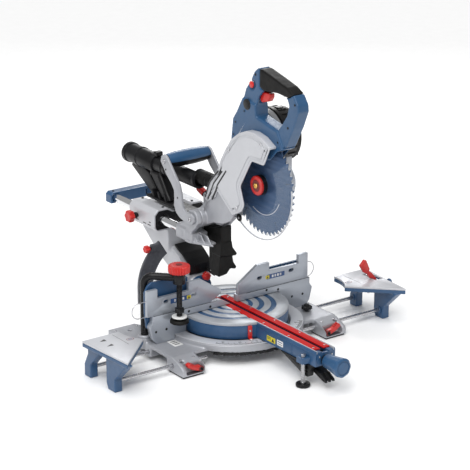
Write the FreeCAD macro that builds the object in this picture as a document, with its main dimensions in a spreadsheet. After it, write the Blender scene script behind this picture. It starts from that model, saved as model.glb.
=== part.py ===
import FreeCAD, Part
import math
import os
import re
import Sketcher

# Sliding compound mitre saw on a base with slide-out side supports.
# Frame: X to the operator's right, Y to the rear, Z up, ground at Z = 0.
# The blade stands in X = 0 and the fences' faces lie in Y = 0.

doc = FreeCAD.newDocument("mitre_saw")

DIMS = {
    # base and feet
    "table_z": 82.0, "ring_out": 150.0, "ring_in": 120.5, "ring_top": 45.0, "ring_low": 30.0,
    "deck_top": 35.0, "deck_low": 27.0, "deck_half": 212.0, "deck_front": -78.0, "deck_back": 60.0,
    "foot_in": 157.0, "foot_out": 213.0, "foot_front": -121.0, "foot_back": -60.0, "pad_z": 3.0,
    "rear_out": 238.0, "rear_in": 160.0, "rear_back": 125.0, "rear_top": 36.0,
    "bolt_x": 200.0, "bolt_y": 97.0, "bolt_rad": 4.5,
    # side supports
    "rod_rad": 4.0, "rod_z": 18.0, "rod_y_front": -82.0, "rod_y_rear": 10.0, "rod_gap": 0.05,
    "left_shift": 7.8, "side_in": 258.7, "side_out": 355.5, "side_front": -148.6, "side_rear": 6.0,
    # fences
    "fence_split": 98.0, "fence_over": 83.5, "fence_back": 14.0, "fence_out": 205.0, "slide_gap": 0.4,
    "upper_thick": 8.0, "notch_z": 136.0, "peak_z": 155.0,
    # clamp
    "clamp_x": -206.0, "clamp_y": 32.0, "clamp_rad": 8.0, "clamp_z": 180.0, "clamp_bend": 20.0,
    "post_rad": 6.0, "reach": 75.2,
    # turntable and its arm
    "drum_rad": 118.0, "drum_foot": 46.6, "arm_half": 25.0, "arm_low": 49.0, "arm_end": -318.0,
    "rim_half": 22.4, "slot_half": 20.2, "trough_half": 9.0, "kerf_half": 4.4, "insert_low": 79.0,
    "ledge_z": 78.9, "top_under": 76.0, "insert_front": -306.0, "insert_rear": 54.0,
    "pivot_rad": 10.0, "pivot_gap": 0.05, "knob_z": 60.0,
    # bevel
    "bevel_rad": 9.0, "sector_in": 80.0, "sector_out": 117.0, "sector_y": 189.0, "sector_thick": 6.0,
    "neck_half": 33.0, "house_front": 200.0, "house_back": 300.0, "rail_x": 45.0, "rail_z": 225.0,
    "rail_rad": 10.0, "bush_rad": 15.0, "rail_front": 99.0, "rail_back": 404.0,
    # head
    "hinge_y": 70.0, "hinge_z": 264.0, "barrel_rad": 20.0, "pin_rad": 8.0,
    "blade_y": -103.0, "blade_z": 375.0, "blade_rad": 108.0, "blade_half": 1.1, "arbor_rad": 10.0,
    "hub_rad": 20.5, "guard_rad": 114.0, "guard_wall": 1.6, "boss_rad": 36.5, "cavity_rad": 118.5,
    "motor_y": -40.0, "motor_z": 453.0, "motor_rad": 59.0, "duct_x": -10.0, "duct_z": 329.0,
    "duct_rad": 17.0, "port_rad": 21.0, "port_bore": 17.0, "handle_y": 165.0, "handle_z": 369.0,
}

sheet = doc.addObject("Spreadsheet::Sheet", "dims")
for row, (alias, size) in enumerate(DIMS.items(), start=1):
    sheet.set(f"A{row}", alias)
    sheet.set(f"B{row}", str(size))
    sheet.setAlias(f"B{row}", alias)
doc.recompute()

WORDS = re.compile(r"[a-z_][a-z_]*")


def bound(value):
    """The value as an expression that reads the sheet."""
    return WORDS.sub(lambda m: "dims." + m.group(0) if m.group(0) in DIMS else m.group(0), str(value))


def size_of(value):
    """The number that an expression gives with the sheet's present sizes."""
    return float(sheet.evalExpression(bound(value))) if isinstance(value, str) else float(value)


PARTS = []


class Piece:
    """One PartDesign body, built from bound sketches."""

    def __init__(self, label):
        self.body = doc.addObject("PartDesign::Body", label)
        self.body.Label = label
        self.body.AllowCompound = True
        self.count = 0
        PARTS.append(self.body)

    def plane(self, name):
        return next(f for f in self.body.Origin.OriginFeatures if f.Role == name + "_Plane")

    def sketch(self, plane, offset, shift=(0, 0)):
        self.count += 1
        sk = self.body.newObject("Sketcher::SketchObject", f"{self.body.Label}_sketch{self.count}")
        sk.AttachmentSupport = [(self.plane(plane), "")]
        sk.MapMode = "FlatFace"
        sk.setExpression("AttachmentOffset.Base.z", bound(offset))
        sk.setExpression("AttachmentOffset.Base.x", bound(shift[0]))
        sk.setExpression("AttachmentOffset.Base.y", bound(shift[1]))
        return sk

    def outline(self, sk, points):
        """A closed polygon, each corner held by two bound distances."""
        corners = [FreeCAD.Vector(size_of(u), size_of(v), 0) for u, v in points]
        count = len(corners)
        first = sk.GeometryCount
        for i in range(count):
            sk.addGeometry(Part.LineSegment(corners[i], corners[(i + 1) % count]))
        for i in range(count):
            sk.addConstraint(Sketcher.Constraint("Coincident", first + i, 2, first + (i + 1) % count, 1))
        for i, (u, v) in enumerate(points):
            for kind, value, number in (("DistanceX", u, corners[i].x), ("DistanceY", v, corners[i].y)):
                index = sk.addConstraint(Sketcher.Constraint(kind, -1, 1, first + i, 1, number))
                if isinstance(value, str):
                    sk.setExpression(f"Constraints[{index}]", bound(value))

    def ring(self, sk, u, v, radius):
        """A circle with a bound centre and radius."""
        centre = FreeCAD.Vector(size_of(u), size_of(v), 0)
        g = sk.addGeometry(Part.Circle(centre, FreeCAD.Vector(0, 0, 1), size_of(radius)))
        index = sk.addConstraint(Sketcher.Constraint("DistanceX", -1, 1, g, 3, centre.x))
        sk.setExpression(f"Constraints[{index}]", bound(u))
        index = sk.addConstraint(Sketcher.Constraint("DistanceY", -1, 1, g, 3, centre.y))
        sk.setExpression(f"Constraints[{index}]", bound(v))
        index = sk.addConstraint(Sketcher.Constraint("Radius", g, size_of(radius)))
        sk.setExpression(f"Constraints[{index}]", bound(radius))

    def feature(self, kind, sk, low, high):
        self.count += 1
        f = self.body.newObject("PartDesign::" + kind, f"{self.body.Label}_{kind}{self.count}")
        f.Profile = sk
        f.setExpression("Length", f"({bound(high)}) - ({bound(low)})")
        f.Reversed = kind == "Pocket"
        sk.Visibility = False
        return f

    def start(self, plane, low, high):
        """Where a sketch stands so that its feature runs from low to high along the plane's axis."""
        return f"-({high})" if plane == "XZ" else low

    def add(self, plane, points, low, high, kind="Pad"):
        sk = self.sketch(plane, self.start(plane, low, high))
        self.outline(sk, points)
        self.feature(kind, sk, low, high)
        return self

    def cut(self, plane, points, low, high):
        return self.add(plane, points, low, high, "Pocket")

    def disc(self, plane, u, v, radius, low, high, inner=None, kind="Pad"):
        sk = self.sketch(plane, self.start(plane, low, high))
        self.ring(sk, u, v, radius)
        if inner is not None:
            self.ring(sk, u, v, inner)
        self.feature(kind, sk, low, high)
        return self

    def hole(self, plane, u, v, radius, low, high):
        return self.disc(plane, u, v, radius, low, high, None, "Pocket")

    def turn(self, points, axis="Z", at=(0, 0, 0), angle=360):
        """A revolved outline of (radius, height) corners about an axis along X, Y or Z through a point."""
        x, y, z = at
        plane, offset, shift, line = {
            "X": ("XY", z, (x, y), "H_Axis"),
            "Y": ("XY", z, (x, y), "V_Axis"),
            "Z": ("XZ", f"-({y})", (x, z), "V_Axis"),
        }[axis]
        sk = self.sketch(plane, offset, shift)
        self.outline(sk, [(h, r) for r, h in points] if axis == "X" else points)
        self.count += 1
        f = self.body.newObject("PartDesign::Revolution", f"{self.body.Label}_turn{self.count}")
        f.Profile = sk
        f.ReferenceAxis = (sk, [line])
        f.Angle = angle
        sk.Visibility = False
        return self

    def soften(self, kind, size, choose):
        """Fillets or chamfers the edges that choose picks."""
        doc.recompute()
        names = [f"Edge{i + 1}" for i, e in enumerate(self.body.Tip.Shape.Edges) if choose(e)]
        if not names:
            raise RuntimeError(f"{self.body.Label}: no edge to soften")
        base = self.body.Tip
        self.count += 1
        f = self.body.newObject("PartDesign::" + kind, f"{self.body.Label}_{kind}{self.count}")
        f.Base = (base, names)
        f.setExpression("Radius" if kind == "Fillet" else "Size", bound(size))
        return self

    def place(self, x, y, z, axis=(0, 0, 1), angle=0):
        self.body.Placement.Rotation = rotation(axis, angle)
        for name, value in (("x", x), ("y", y), ("z", z)):
            self.body.setExpression(f"Placement.Base.{name}", bound(value))
        return self


def along(axis):
    """Picks straight edges that run along X, Y or Z."""
    ref = {"X": (1, 0, 0), "Y": (0, 1, 0), "Z": (0, 0, 1)}[axis]

    def choose(edge):
        if not isinstance(edge.Curve, Part.Line) or edge.Length < 1.0:
            return False
        return abs(edge.Curve.Direction.dot(FreeCAD.Vector(*ref))) > 0.999

    return choose


def corner(axis, u, v, reach=2.0):
    """Picks edges along an axis whose other two coordinates are near u, v."""
    pick = along(axis)

    def choose(edge):
        if not pick(edge):
            return False
        p = edge.CenterOfMass
        a, b = {"X": (p.y, p.z), "Y": (p.x, p.z), "Z": (p.x, p.y)}[axis]
        return math.hypot(a - size_of(u), b - size_of(v)) < reach

    return choose


def mirrored(points, side):
    """The outline on the right (side 1) or its mirror image on the left (side -1)."""
    return [(u if side > 0 else f"-({u})", v) for u, v in points]


def span(side, low, high):
    """A stretch of X on the right, or its mirror image on the left."""
    return (low, high) if side > 0 else (f"-({high})", f"-({low})")


def rotation(axis, angle):
    return FreeCAD.Rotation(FreeCAD.Vector(*axis), angle)


def primitive(kind, name, place=(0, 0, 0), turned=None, **sizes):
    """A Part primitive with bound sizes and a bound place."""
    p = doc.addObject("Part::" + kind, name)
    if turned is not None:
        p.Placement.Rotation = turned
    for key, value in sizes.items():
        p.setExpression(key, bound(value))
    for key, value in zip("xyz", place):
        p.setExpression(f"Placement.Base.{key}", bound(value))
    return p


# ---------------------------------------------------------------- base

base = Piece("base_casting")
base.disc("XY", 0, 0, "ring_out", "ring_low", 37)
base.disc("XY", 0, 0, "ring_out", 37, "ring_top", "ring_in")
base.add("XY", [("-deck_half", "deck_back"), ("-deck_half", -62), (-200, "deck_front"),
                (200, "deck_front"), ("deck_half", -62), ("deck_half", "deck_back")], "deck_low", "deck_top")
for side in (1, -1):
    low, high = span(side, "foot_in", "foot_out")
    base.add("YZ", [("foot_front", "pad_z"), ("foot_front", 17), (-111, 24), (-95, 30), (-78, "deck_top"),
                    ("foot_back", "deck_top"), ("foot_back", "pad_z")], low, high)
    base.add("XY", mirrored([("rear_in", 40), (212, 40), ("rear_out", 68), ("rear_out", "rear_back"),
                             (172, "rear_back"), ("rear_in", 100)], side), "pad_z", "rear_top")
    low, high = span(side, 130, "deck_half")
    base.add("XZ", mirrored([(130, 8), ("deck_half", 8), ("deck_half", "deck_low"), (130, "deck_low")], side),
             "rod_y_rear - 9", "rod_y_rear + 9")
    base.disc("XY", f"{side} * 206", "clamp_y", 14, 20, "ring_top")
base.disc("XY", 0, 0, 27, 22, 37)
base.hole("XY", 0, 0, "pivot_rad + pivot_gap", 22, 37)
for side in (1, -1):
    low, high = span(side, 110, "rear_out")
    for y in ("rod_y_front", "rod_y_rear"):
        base.hole("YZ", y, "rod_z", "rod_rad + rod_gap", low, high)
    base.hole("XY", f"{side} * 206", "clamp_y", "clamp_rad + 0.05", 36, "ring_top")
    base.cut("XY", mirrored([("foot_in + 2", -125), (203, -125), (203, -103.5), ("foot_in + 2", -103.5)], side),
             6, 40)
    for y in ("-bolt_y", "bolt_y"):
        base.hole("XY", f"{side} * bolt_x", y, "bolt_rad", 0, "rear_top")
    base.hole("XZ", f"{side} * 166", 13, 3.02, -103.5, -90)

feet = Piece("rubber_feet")
for side in (1, -1):
    for y, low, high in (("-bolt_y", -118, -66), ("bolt_y", 72, 120)):
        edge = [("foot_in + 3", low), (210, low), (210, high), ("foot_in + 3", high)]
        if low > 0:
            edge = [(174, low), (234, low), (234, high), (174, high)]
        feet.add("XY", mirrored(edge, side), 0, "pad_z")
for side in (1, -1):
    for y in ("-bolt_y", "bolt_y"):
        feet.hole("XY", f"{side} * bolt_x", y, "bolt_rad", 0, "pad_z")


def arc_strip(label, outer, inner, low, high, half_angle):
    """A ring's front sector as a cut of two cylinders."""
    o = primitive("Cylinder", label + "_outer", (0, 0, low), rotation((0, 0, 1), -90 - half_angle),
                  Radius=outer, Height=f"({high}) - ({low})", Angle=2 * half_angle)
    i = primitive("Cylinder", label + "_inner", (0, 0, f"({low}) - 1"), Radius=inner,
                  Height=f"({high}) - ({low}) + 2")
    return o, i


outer, inner = arc_strip("detent_blank", 149, 139, 23, 29.8, 52)
notches = [inner]
for k, degrees in enumerate((-47, -45, -31.6, -22.5, -15, 0, 15, 22.5, 31.6, 45, 47)):
    heading = math.radians(degrees - 90)
    notches.append(primitive("Box", f"detent_notch{k}", (146 * math.cos(heading) + 3 * math.sin(heading),
                   146 * math.sin(heading) - 3 * math.cos(heading), 20), rotation((0, 0, 1), degrees - 90),
                   Length=8, Width=6, Height=12))
tool = doc.addObject("Part::MultiFuse", "detent_tool")
tool.Shapes = notches
detent = doc.addObject("Part::Cut", "detent_ring")
detent.Base = outer
detent.Tool = tool
detent.Label = "detent_ring"
PARTS.append(detent)

fixed = Piece("fixed_fences")
for side, tip in ((1, [(10.5, "fence_over"), (10.5, "fence_split")]),
                  (-1, [(8, "fence_over"), (32, "fence_split")])):
    fixed.add("XZ", mirrored(tip + [("fence_out", "fence_split"), ("fence_out", 84), (212, 74), ("fence_out", 46),
                                    (196, "deck_top + 0.2"), (151, "deck_top + 0.2"), (151, "ring_top + 0.5"),
                                    (122.5, "ring_top + 0.5"), (122.5, "fence_over")], side), 0, "fence_back")
    fixed.add("XZ", mirrored([(152, "deck_top + 0.2"), (191, "deck_top + 0.2"), (191, 41), (152, 41)], side),
              "fence_back", 40)
    for x in (154, 184):
        low, high = span(side, x, x + 6)
        fixed.add("YZ", [("fence_back", 41), (38, 41), ("fence_back", 66)], low, high)

screws = Piece("fence_screws")
for side in (1, -1):
    for x in (166, 177):
        screws.disc("XY", side * x, 29, 5, 41, 45.6)

for name, side in (("lock_lever_left", -1), ("lock_lever_right", 1)):
    lever = Piece(name)
    lever.disc("XZ", side * 166, 13, 6, -120, -106)
    lever.disc("XZ", side * 166, 13, 3, -106, -92)
    lever.add("XZ", mirrored([(166, 9), (176, 9.5), (188, 14), (198, 22), (196, 26), (186, 20), (176, 17),
                              (166, 18)], side), -119, -106)

knob = Piece("adjuster_knob")
knob.turn([(0, 0), (5, 0), (5, 5), (12, 6), (12, 12), (6, 16), (0, 16)])
knob.place(174, -31, "deck_top")

# ---------------------------------------------------------------- sliding fences

UPPER = {
    "left": [(-219.2, "fence_split + slide_gap"), (-219.2, 156), (-193.5, 156), (-193.5, "notch_z"),
             (-115, "notch_z"), (-115, "peak_z"), (-83.4, "peak_z"), (-32.4, 121), (-32.4, 112),
             (-60, "fence_split + slide_gap")],
    "right": [(12.7, "fence_split + slide_gap"), (12.7, 121), (63.7, "peak_z"), (95.2, "peak_z"),
              (95.2, "notch_z"), (173.8, "notch_z"), (173.8, 156), (199.5, 156),
              (199.5, "fence_split + slide_gap")],
}
for name, slots in (("left", (-172, -102)), ("right", (69, 154))):
    upper = Piece(name + "_fence")
    upper.add("XZ", UPPER[name], 0, "upper_thick")
    for x in slots:
        upper.cut("XZ", [(x - 3, 121), (x + 3, 121), (x + 3, 129), (x - 3, 129)], 0, "upper_thick")
        for end in (x - 3, x + 3):
            upper.hole("XZ", end, 125, 4, 0, "upper_thick")
left_back = Piece("left_fence_carrier")
left_back.add("XZ", [(-212, 68), (-216, 100), (-216, 148), (-208, 162), (-198, 168), (-118, 168), (-108, 161),
                     (-107, 84), (-140, 84), (-140, 68)], "fence_back + slide_gap", 20)
left_back.add("XZ", [(-212, 99), (-212, 120), (-62, 120), (-62, 99)], "upper_thick", "fence_back + slide_gap")
right_back = Piece("right_fence_carrier")
right_back.add("XZ", [(60, 84), (60, 132), (66, 138), (190, 138), (196, 132), (196, 68), (124, 68),
                       (124, 84)],
               "fence_back + slide_gap", 20)
right_back.add("XZ", [(60, 99), (60, 120), (196, 120), (196, 99)], "upper_thick", "fence_back + slide_gap")



def fused(label, shapes):
    """A named union of Part objects."""
    f = doc.addObject("Part::MultiFuse", label)
    f.Shapes = shapes
    f.Label = label
    PARTS.append(f)
    return f


for name, edge, side, reach in (("left", -219.2, -1, 18), ("right", 199.5, 1, 2)):
    upright = rotation((1, 0, 0), 90).multiply(rotation((0, 0, 1), -90 * side))
    loop = [primitive("Torus", name + "_wire_bend", (edge + side * reach, 4, 116.4), upright,
                      Radius1=17, Radius2=0.9, Angle3=180)]
    for z in (99.4, 133.4):
        loop.append(primitive("Cylinder", name + "_wire_leg", (min(edge, edge + side * reach), 4, z),
                              rotation((0, 1, 0), 90), Radius=0.9, Height=reach))
    fused(name + "_fence_wire", loop)

# ---------------------------------------------------------------- side supports

EDGE = [(278, "side_rear"), ("side_out + 11", "side_rear"), ("side_out", "side_front"), ("side_in", -56.3),
        (270, -42), (276, -25), (278.5, -8)]
for name, side, out in (("left", -1, " + left_shift"), ("right", 1, "")):
    def shifted(points):
        return mirrored([(f"({x}){out}", y) for x, y in points], side)

    def stretch(a, b):
        return span(side, f"({a}){out}", f"({b}){out}")

    table = Piece(name + "_support_table")
    table.add("XY", shifted(EDGE), "table_z - 4", "table_z")
    frame = Piece(name + "_support_frame")
    frame.add("XY", shifted(EDGE), "table_z - 13", "table_z - 4")
    frame.cut("XY", shifted([(286, 0), (334, 0), (334, -60), (286, -60), (284, -30)]), "table_z - 13", "table_z - 7")
    low, high = stretch(336, 354)
    frame.add("YZ", [(-64, 69), (-138, 69), (-96, 28), (-96, 0), (-70, 0), (-64, 12)], low, high)
    frame.add("YZ", [(6, 69), (-42, 69), (-4, 30), (-4, 0), (20, 0), (20, 26), (6, 52)], low, high)
    low, high = stretch(336, 350)
    for y in ("rod_y_front", "rod_y_rear"):
        frame.hole("YZ", y, "rod_z", "rod_rad + 0.02", low, high)
    rods = Piece(name + "_support_rods")
    low, high = stretch(120, 350)
    for y in ("rod_y_front", "rod_y_rear"):
        rods.disc("YZ", y, "rod_z", "rod_rad", low, high)
    if side > 0:
        slot = [(338, -18), (358, -18), (358, -66), (338, -66)]
        table.cut("XY", slot, "table_z - 4", "table_z")
        frame.cut("XY", slot, "table_z - 13", "table_z - 4")
        frame.disc("YZ", -82, 73, 3, "side_out - 2", "side_out + 6")
        frame.disc("YZ", -82, 77, 8, "side_out + 6", "side_out + 11")

stop = Piece("length_stop")
stop.add("XZ", [(351, 78), (348, 73.5), (343, 74), (339, 80), (338.6, 83), (331, 84), (327, 92), (323, 96), (313, 101),
                (302.6, 118.5), (314.3, 130.7), (319.4, 128.5), (329.8, 106.4), (327.2, 102.4), (336.3, 96)], -56, -49)
stop.disc("XZ", 348, 77, 3, -65.9, -18.1)

# ---------------------------------------------------------------- work clamp

tube = Piece("clamp_tube")
path = tube.sketch("XZ", 0)
V = FreeCAD.Vector
rise = size_of("clamp_z - 37")
turn = size_of("clamp_bend")
reach = size_of("reach")
path.addGeometry(Part.LineSegment(V(0, 0, 0), V(0, rise - turn, 0)))
path.addGeometry(Part.ArcOfCircle(Part.Circle(V(turn, rise - turn, 0), V(0, 0, 1), turn), math.pi / 2, math.pi))
path.addGeometry(Part.LineSegment(V(turn, rise, 0), V(reach, rise, 0)))
for rule in (("Coincident", 0, 1, -1, 1), ("Vertical", 0), ("Horizontal", 2), ("Tangent", 0, 2, 1, 2),
             ("Tangent", 1, 1, 2, 1)):
    path.addConstraint(Sketcher.Constraint(*rule))
for rule, expression in ((("Radius", 1, turn), "clamp_bend"),
                         (("DistanceY", -1, 1, 2, 1, rise), "clamp_z - 37"),
                         (("DistanceX", -1, 1, 2, 2, reach), "reach")):
    path.setExpression(f"Constraints[{path.addConstraint(Sketcher.Constraint(*rule))}]", bound(expression))
section = tube.sketch("XY", 0)
tube.ring(section, 0, 0, "clamp_rad")
sweep = tube.body.newObject("PartDesign::AdditivePipe", "clamp_tube_sweep")
sweep.Profile = section
sweep.Spine = (path, ["Edge1", "Edge2", "Edge3"])
tube.disc("XY", "reach", 0, 13, 131, 152)
tube.hole("XY", "reach", 0, "post_rad + 0.05", 125, 160)
tube.place("clamp_x", "clamp_y", 37, (0, 0, 1), -46.3)
CLAMP_AT = ("clamp_x + reach * cos(46.3 deg)", "clamp_y - reach * sin(46.3 deg)")

spindle = Piece("clamp_spindle")
spindle.turn([(0, 0), ("post_rad", 0), ("post_rad", 107), (0, 107)])
spindle.place(*CLAMP_AT, 94)
pad = Piece("clamp_pad")
pad.turn([(0, 0), (20, 0), (20, 7), (13, 8), (13, 13), (0, 13)])
pad.place(*CLAMP_AT, 81)
red = Piece("clamp_knob")
red.turn([(6.1, 0), (19, 0), (23, 3), (23, 15), (20, 18), (0, 18), (0, 10.1), (6.1, 10.1)])
red.place(*CLAMP_AT, 191)

# ---------------------------------------------------------------- turntable

plate = Piece("turntable_plate")
plate.disc("XY", 0, 0, "drum_rad", "top_under", "table_z")
for outer, inner in ((92, 80.5), (66, 55), (42, 32)):
    plate.disc("XY", 0, 0, outer, "table_z - 1.5", "table_z", inner, "Pocket")
for side in (1, -1):
    plate.add("XY", mirrored([("slot_half", -100), ("rim_half", -100), ("rim_half", "arm_end"),
                              ("slot_half", "arm_end")], side), "top_under", "table_z")
plate.cut("XY", [("-slot_half", "arm_end - 2"), ("slot_half", "arm_end - 2"), ("slot_half", "insert_rear + 2"),
                 ("-slot_half", "insert_rear + 2")], "top_under", "table_z")

turn_body = Piece("turntable_body")
turn_body.disc("XY", 0, 0, "drum_rad - 0.4", "drum_foot", "top_under", 112)
turn_body.disc("XY", 0, 0, "drum_rad - 0.4", 69, "top_under")
turn_body.disc("XY", 0, 0, 24, 37.3, "top_under")
turn_body.add("XY", [(-40, 100), (40, 100), (34, "sector_y"), (-34, "sector_y")], "drum_foot", 62)
turn_body.add("XZ", [(-30, 60), (30, 60), (26, "table_z"), (18, 100), (-18, 100), (-26, "table_z")], 118.5, 127)
turn_body.disc("XZ", 0, "table_z", 26, 118.5, 127)
turn_body.add("XZ", [("-arm_half", "arm_low"), ("arm_half", "arm_low"), ("arm_half", 77), (23.4, 81.6),
                     ("rim_half", 81.6), ("rim_half", 75.9), ("-rim_half", 75.9), ("-rim_half", 81.6), (-23.4, 81.6),
                     ("-arm_half", 77)], "arm_end", -118.5)
turn_body.add("XZ", [("-arm_half", "arm_low"), ("arm_half", "arm_low"), ("arm_half", 75.9),
                     ("-arm_half", 75.9)], -119, -100)
turn_body.cut("XY", [("-trough_half", "arm_end + 6"), ("trough_half", "arm_end + 6"),
                     ("trough_half", "insert_rear + 3"), ("-trough_half", "insert_rear + 3")], 71, 90)
turn_body.cut("XY", [("-trough_half", "arm_end + 6"), ("trough_half", "arm_end + 6"),
                     ("trough_half", -30), ("-trough_half", -30)], 56, 72)
for side in (1, -1):
    turn_body.add("XY", mirrored([("trough_half", "arm_end"), ("slot_half - 0.05", "arm_end"),
                                  ("slot_half - 0.05", "insert_rear + 1"), ("trough_half", "insert_rear + 1")], side),
                  75, "ledge_z")
turn_body.add("XY", [(-43, -298), (-24, -300), (-24, -276), (-43, -278)], 52, 64)
turn_body.add("YZ", [(-273, "arm_low"), (-259, "arm_low"), (-262, 37), (-270, 37)], 12.4, 17)
turn_body.hole("YZ", -266, 42, 2.55, 12, 18)
turn_body.hole("XY", -33, -288, 5.1, 50, 66)
turn_body.hole("XZ", 0, "table_z", 26.6, 127.2, 179)
turn_body.hole("XY", 0, 0, "pivot_rad", 30, 62)
turn_body.hole("XZ", 0, "table_z", "bevel_rad", 118, 128)
turn_body.hole("XZ", 0, "knob_z", 5.1, "arm_end - 1", "arm_end + 7")

inserts = Piece("kerf_inserts")
for side in (1, -1):
    inserts.add("XY", mirrored([("kerf_half", "insert_front"), ("slot_half - 0.3", "insert_front"),
                                ("slot_half - 0.3", "insert_rear"), ("kerf_half", "insert_rear")], side),
                "insert_low", "table_z - 0.2")

pointer = Piece("mitre_pointer")
pointer.add("XY", [(-4, -118.1), (4, -118.1), (4, -124), (-4, -124)], 52, 76)
pointer.add("XY", [(-4, -118.1), (4, -118.1), (2, -134), (-2, -134)], 48.5, 52)
pointer.place(0, 0, 0, (0, 0, 1), -19)

bolts = Piece("pivot_bolts")
bolts.turn([(0, 14), (17, 14), (17, 21.8), ("pivot_rad", 21.8), ("pivot_rad", 61.9), (0, 61.9)])
bolts.turn([(0, 119), ("bevel_rad", 119), ("bevel_rad", 178.4), (16, 178.4), (16, 187), (0, 187)], "Y",
           (0, 0, "table_z"))

strut = Piece("foot_bracket")
strut.add("YZ", [(-205, "arm_low"), (-302, "arm_low"), (-302, 40), (-296, 21.5), (-282, 21.5)], -27.6, -13.5)
strut.hole("YZ", -266, 42, 2.55, -28, -13)

paddle = Piece("detent_lever")
paddle.disc("YZ", -266, 42, 4, -12, 12)
paddle.disc("YZ", -266, 42, 2.5, -20, 15)
paddle.add("YZ", [(-262, 42), (-270, 45), (-292, 40), (-318, 30), (-332, 19), (-328, 16), (-306, 24),
                  (-282, 33)], -12, 12)

lock = Piece("mitre_lock_knob")
lock.turn([(0, 0), (14, 0), (16, 16), (21, 46), (19, 52), (0, 52)])
lock.turn([(0, -12.5), (5, -12.5), (5, 0), (0, 0)])
lock.place(0, "arm_end - 6.5", "knob_z", (1, 0, 0), 90)

foot = Piece("front_foot")
foot.turn([(0, 0), (14, 0), (15, 2), (15, 7), (5, 8.5), (5, 70), (0, 70)])
foot.place(-33, -288, 0)

# ---------------------------------------------------------------- bevel sector and its stop

SECTOR_FROM, SECTOR_TO = 122, 178
blank = primitive("Cylinder", "sector_blank", (0, "sector_y + sector_thick", "table_z"),
                  rotation((1, 0, 0), 90).multiply(rotation((0, 0, 1), SECTOR_FROM)),
                  Radius="sector_out", Height="sector_thick", Angle=SECTOR_TO - SECTOR_FROM)
hollow = primitive("Cylinder", "sector_hollow", (0, "sector_y + sector_thick + 1", "table_z"),
                   rotation((1, 0, 0), 90), Radius="sector_in", Height="sector_thick + 2")
plain = doc.addObject("Part::Cut", "sector_plain")
plain.Base = blank
plain.Tool = hollow
sill = primitive("Box", "sector_strut", (-117, "sector_y", "drum_foot + 0.4"), Length=151,
                  Width="sector_thick", Height=15)
leg = primitive("Box", "sector_leg", (-117, "sector_y", "drum_foot + 0.4"), Length=37, Width="sector_thick",
                Height=42)
post = primitive("Box", "sector_boss", (-84, "sector_y - 4", 162), Length=19, Width=9.5, Height=15)
fused("bevel_sector", [plain, sill, leg, post])

stop_knob = Piece("bevel_stop_knob")
stop_knob.turn([(0, 0), (3.5, 0), (3.5, 3), (8, 4), (8.5, 6), (8.5, 15), (6, 17), (0, 17)])
stop_knob.place(-84.3, 189.5, 169.4, (0, 1, 0), -90)

# ---------------------------------------------------------------- bevel neck and slide bearings

neck = Piece("bevel_neck")
neck.disc("XZ", 0, "table_z", 26, 127.8, 178)
neck.add("YZ", [(132, 91), (132, 108), (160, 148), (196, 165), ("house_front", 198), ("house_back", 198),
                ("house_back", 180), (244, 138), (188, 108), (178, 100), (178, 91)], "-neck_half", "neck_half")
neck.add("XZ", [(-68, 208), (-68, 238), (-58, 249), (-32, 249), (-18, 241), (18, 241), (32, 249), (58, 249),
                (68, 238), (68, 208), (58, 199), (-58, 199)], "house_front", "house_back")
neck.disc("XZ", 0, "table_z", 150, "sector_y - 0.6", "sector_y + sector_thick + 0.6", "sector_in - 0.6", "Pocket")
neck.hole("XZ", 0, "table_z", "bevel_rad + pivot_gap", 127, 179)
for side in (1, -1):
    neck.hole("XZ", f"{side} * rail_x", "rail_z", "bush_rad", "house_front - 1", "house_back + 1")
neck.hole("YZ", 268, 222, 4.05, -70, -60)

bushes = Piece("rail_bushings")
for side in (1, -1):
    for low, high in (("house_front + 12", "house_front + 40"), ("house_back - 30", "house_back")):
        bushes.disc("XZ", f"{side} * rail_x", "rail_z", "bush_rad - 0.02", low, high, "rail_rad + 0.05")

star = Piece("slide_lock_knob")
star.turn([(0, -7), (4, -7), (4, 10), (9, 11), (14, 14), (14, 22), (9, 25), (0, 25)])
star.place(-68, 268, 222, (0, 1, 0), -90)

# ---------------------------------------------------------------- slide carriage

rails = Piece("slide_rails")
for side in (1, -1):
    rails.disc("XZ", f"{side} * rail_x", "rail_z", "rail_rad", "rail_front", "rail_back")

bridge = Piece("rear_bridge")
bridge.add("XZ", [(-59, 213), (59, 213), (59, 233), (53, 238), (-53, 238), (-59, 233)], 388.5, 412)
for side in (1, -1):
    bridge.hole("XZ", f"{side} * rail_x", "rail_z", "rail_rad + 0.02", 388, "rail_back")

bracket = Piece("front_bracket_block")
bracket.add("XZ", [(-60, 210), (60, 210), (60, 235), (54, 241), (-54, 241), (-60, 235)], 92, 128)
for low, high in ((-57, -45), (40, 50)):
    bracket.add("YZ", [(92, 210), (124, 210), (124, 238), (96, 256), (90, 268), (84, 279), (74, 284), (64, 283),
                       (55, 277), (50, 267), (51, 257), (58, 247), (76, 230)], low, high)
bracket.add("XY", [(-60, 94), (-60, 78), (-36, 30), (-32.5, 27), (-32.5, 38), (-17, 38), (-17, 94)], 208, 213)
for x, front in ((-58, 76), (-50, 62), (-42, 47), (-35, 34)):
    bracket.add("YZ", [(94, 212), (94, 230), (front + 14, 228), (front, 214), (front, 212)], x, x + 2.5)
bracket.add("YZ", [(94, 212), (94, 232), (70, 228), (70, 212)], -58, -17)
bracket.add("YZ", [(100, 236), (127, 236), (130, 294), (102, 286)], 12, 32)
for side in (1, -1):
    bracket.hole("XZ", f"{side} * rail_x", "rail_z", "rail_rad + 0.02", "rail_front", 129)
bracket.hole("YZ", "hinge_y", "hinge_z", "pin_rad", -58, 51)

pin = Piece("head_pivot_pin")
pin.disc("YZ", "hinge_y", "hinge_z", "pin_rad - 0.02", -56.9, 49.9)

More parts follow.
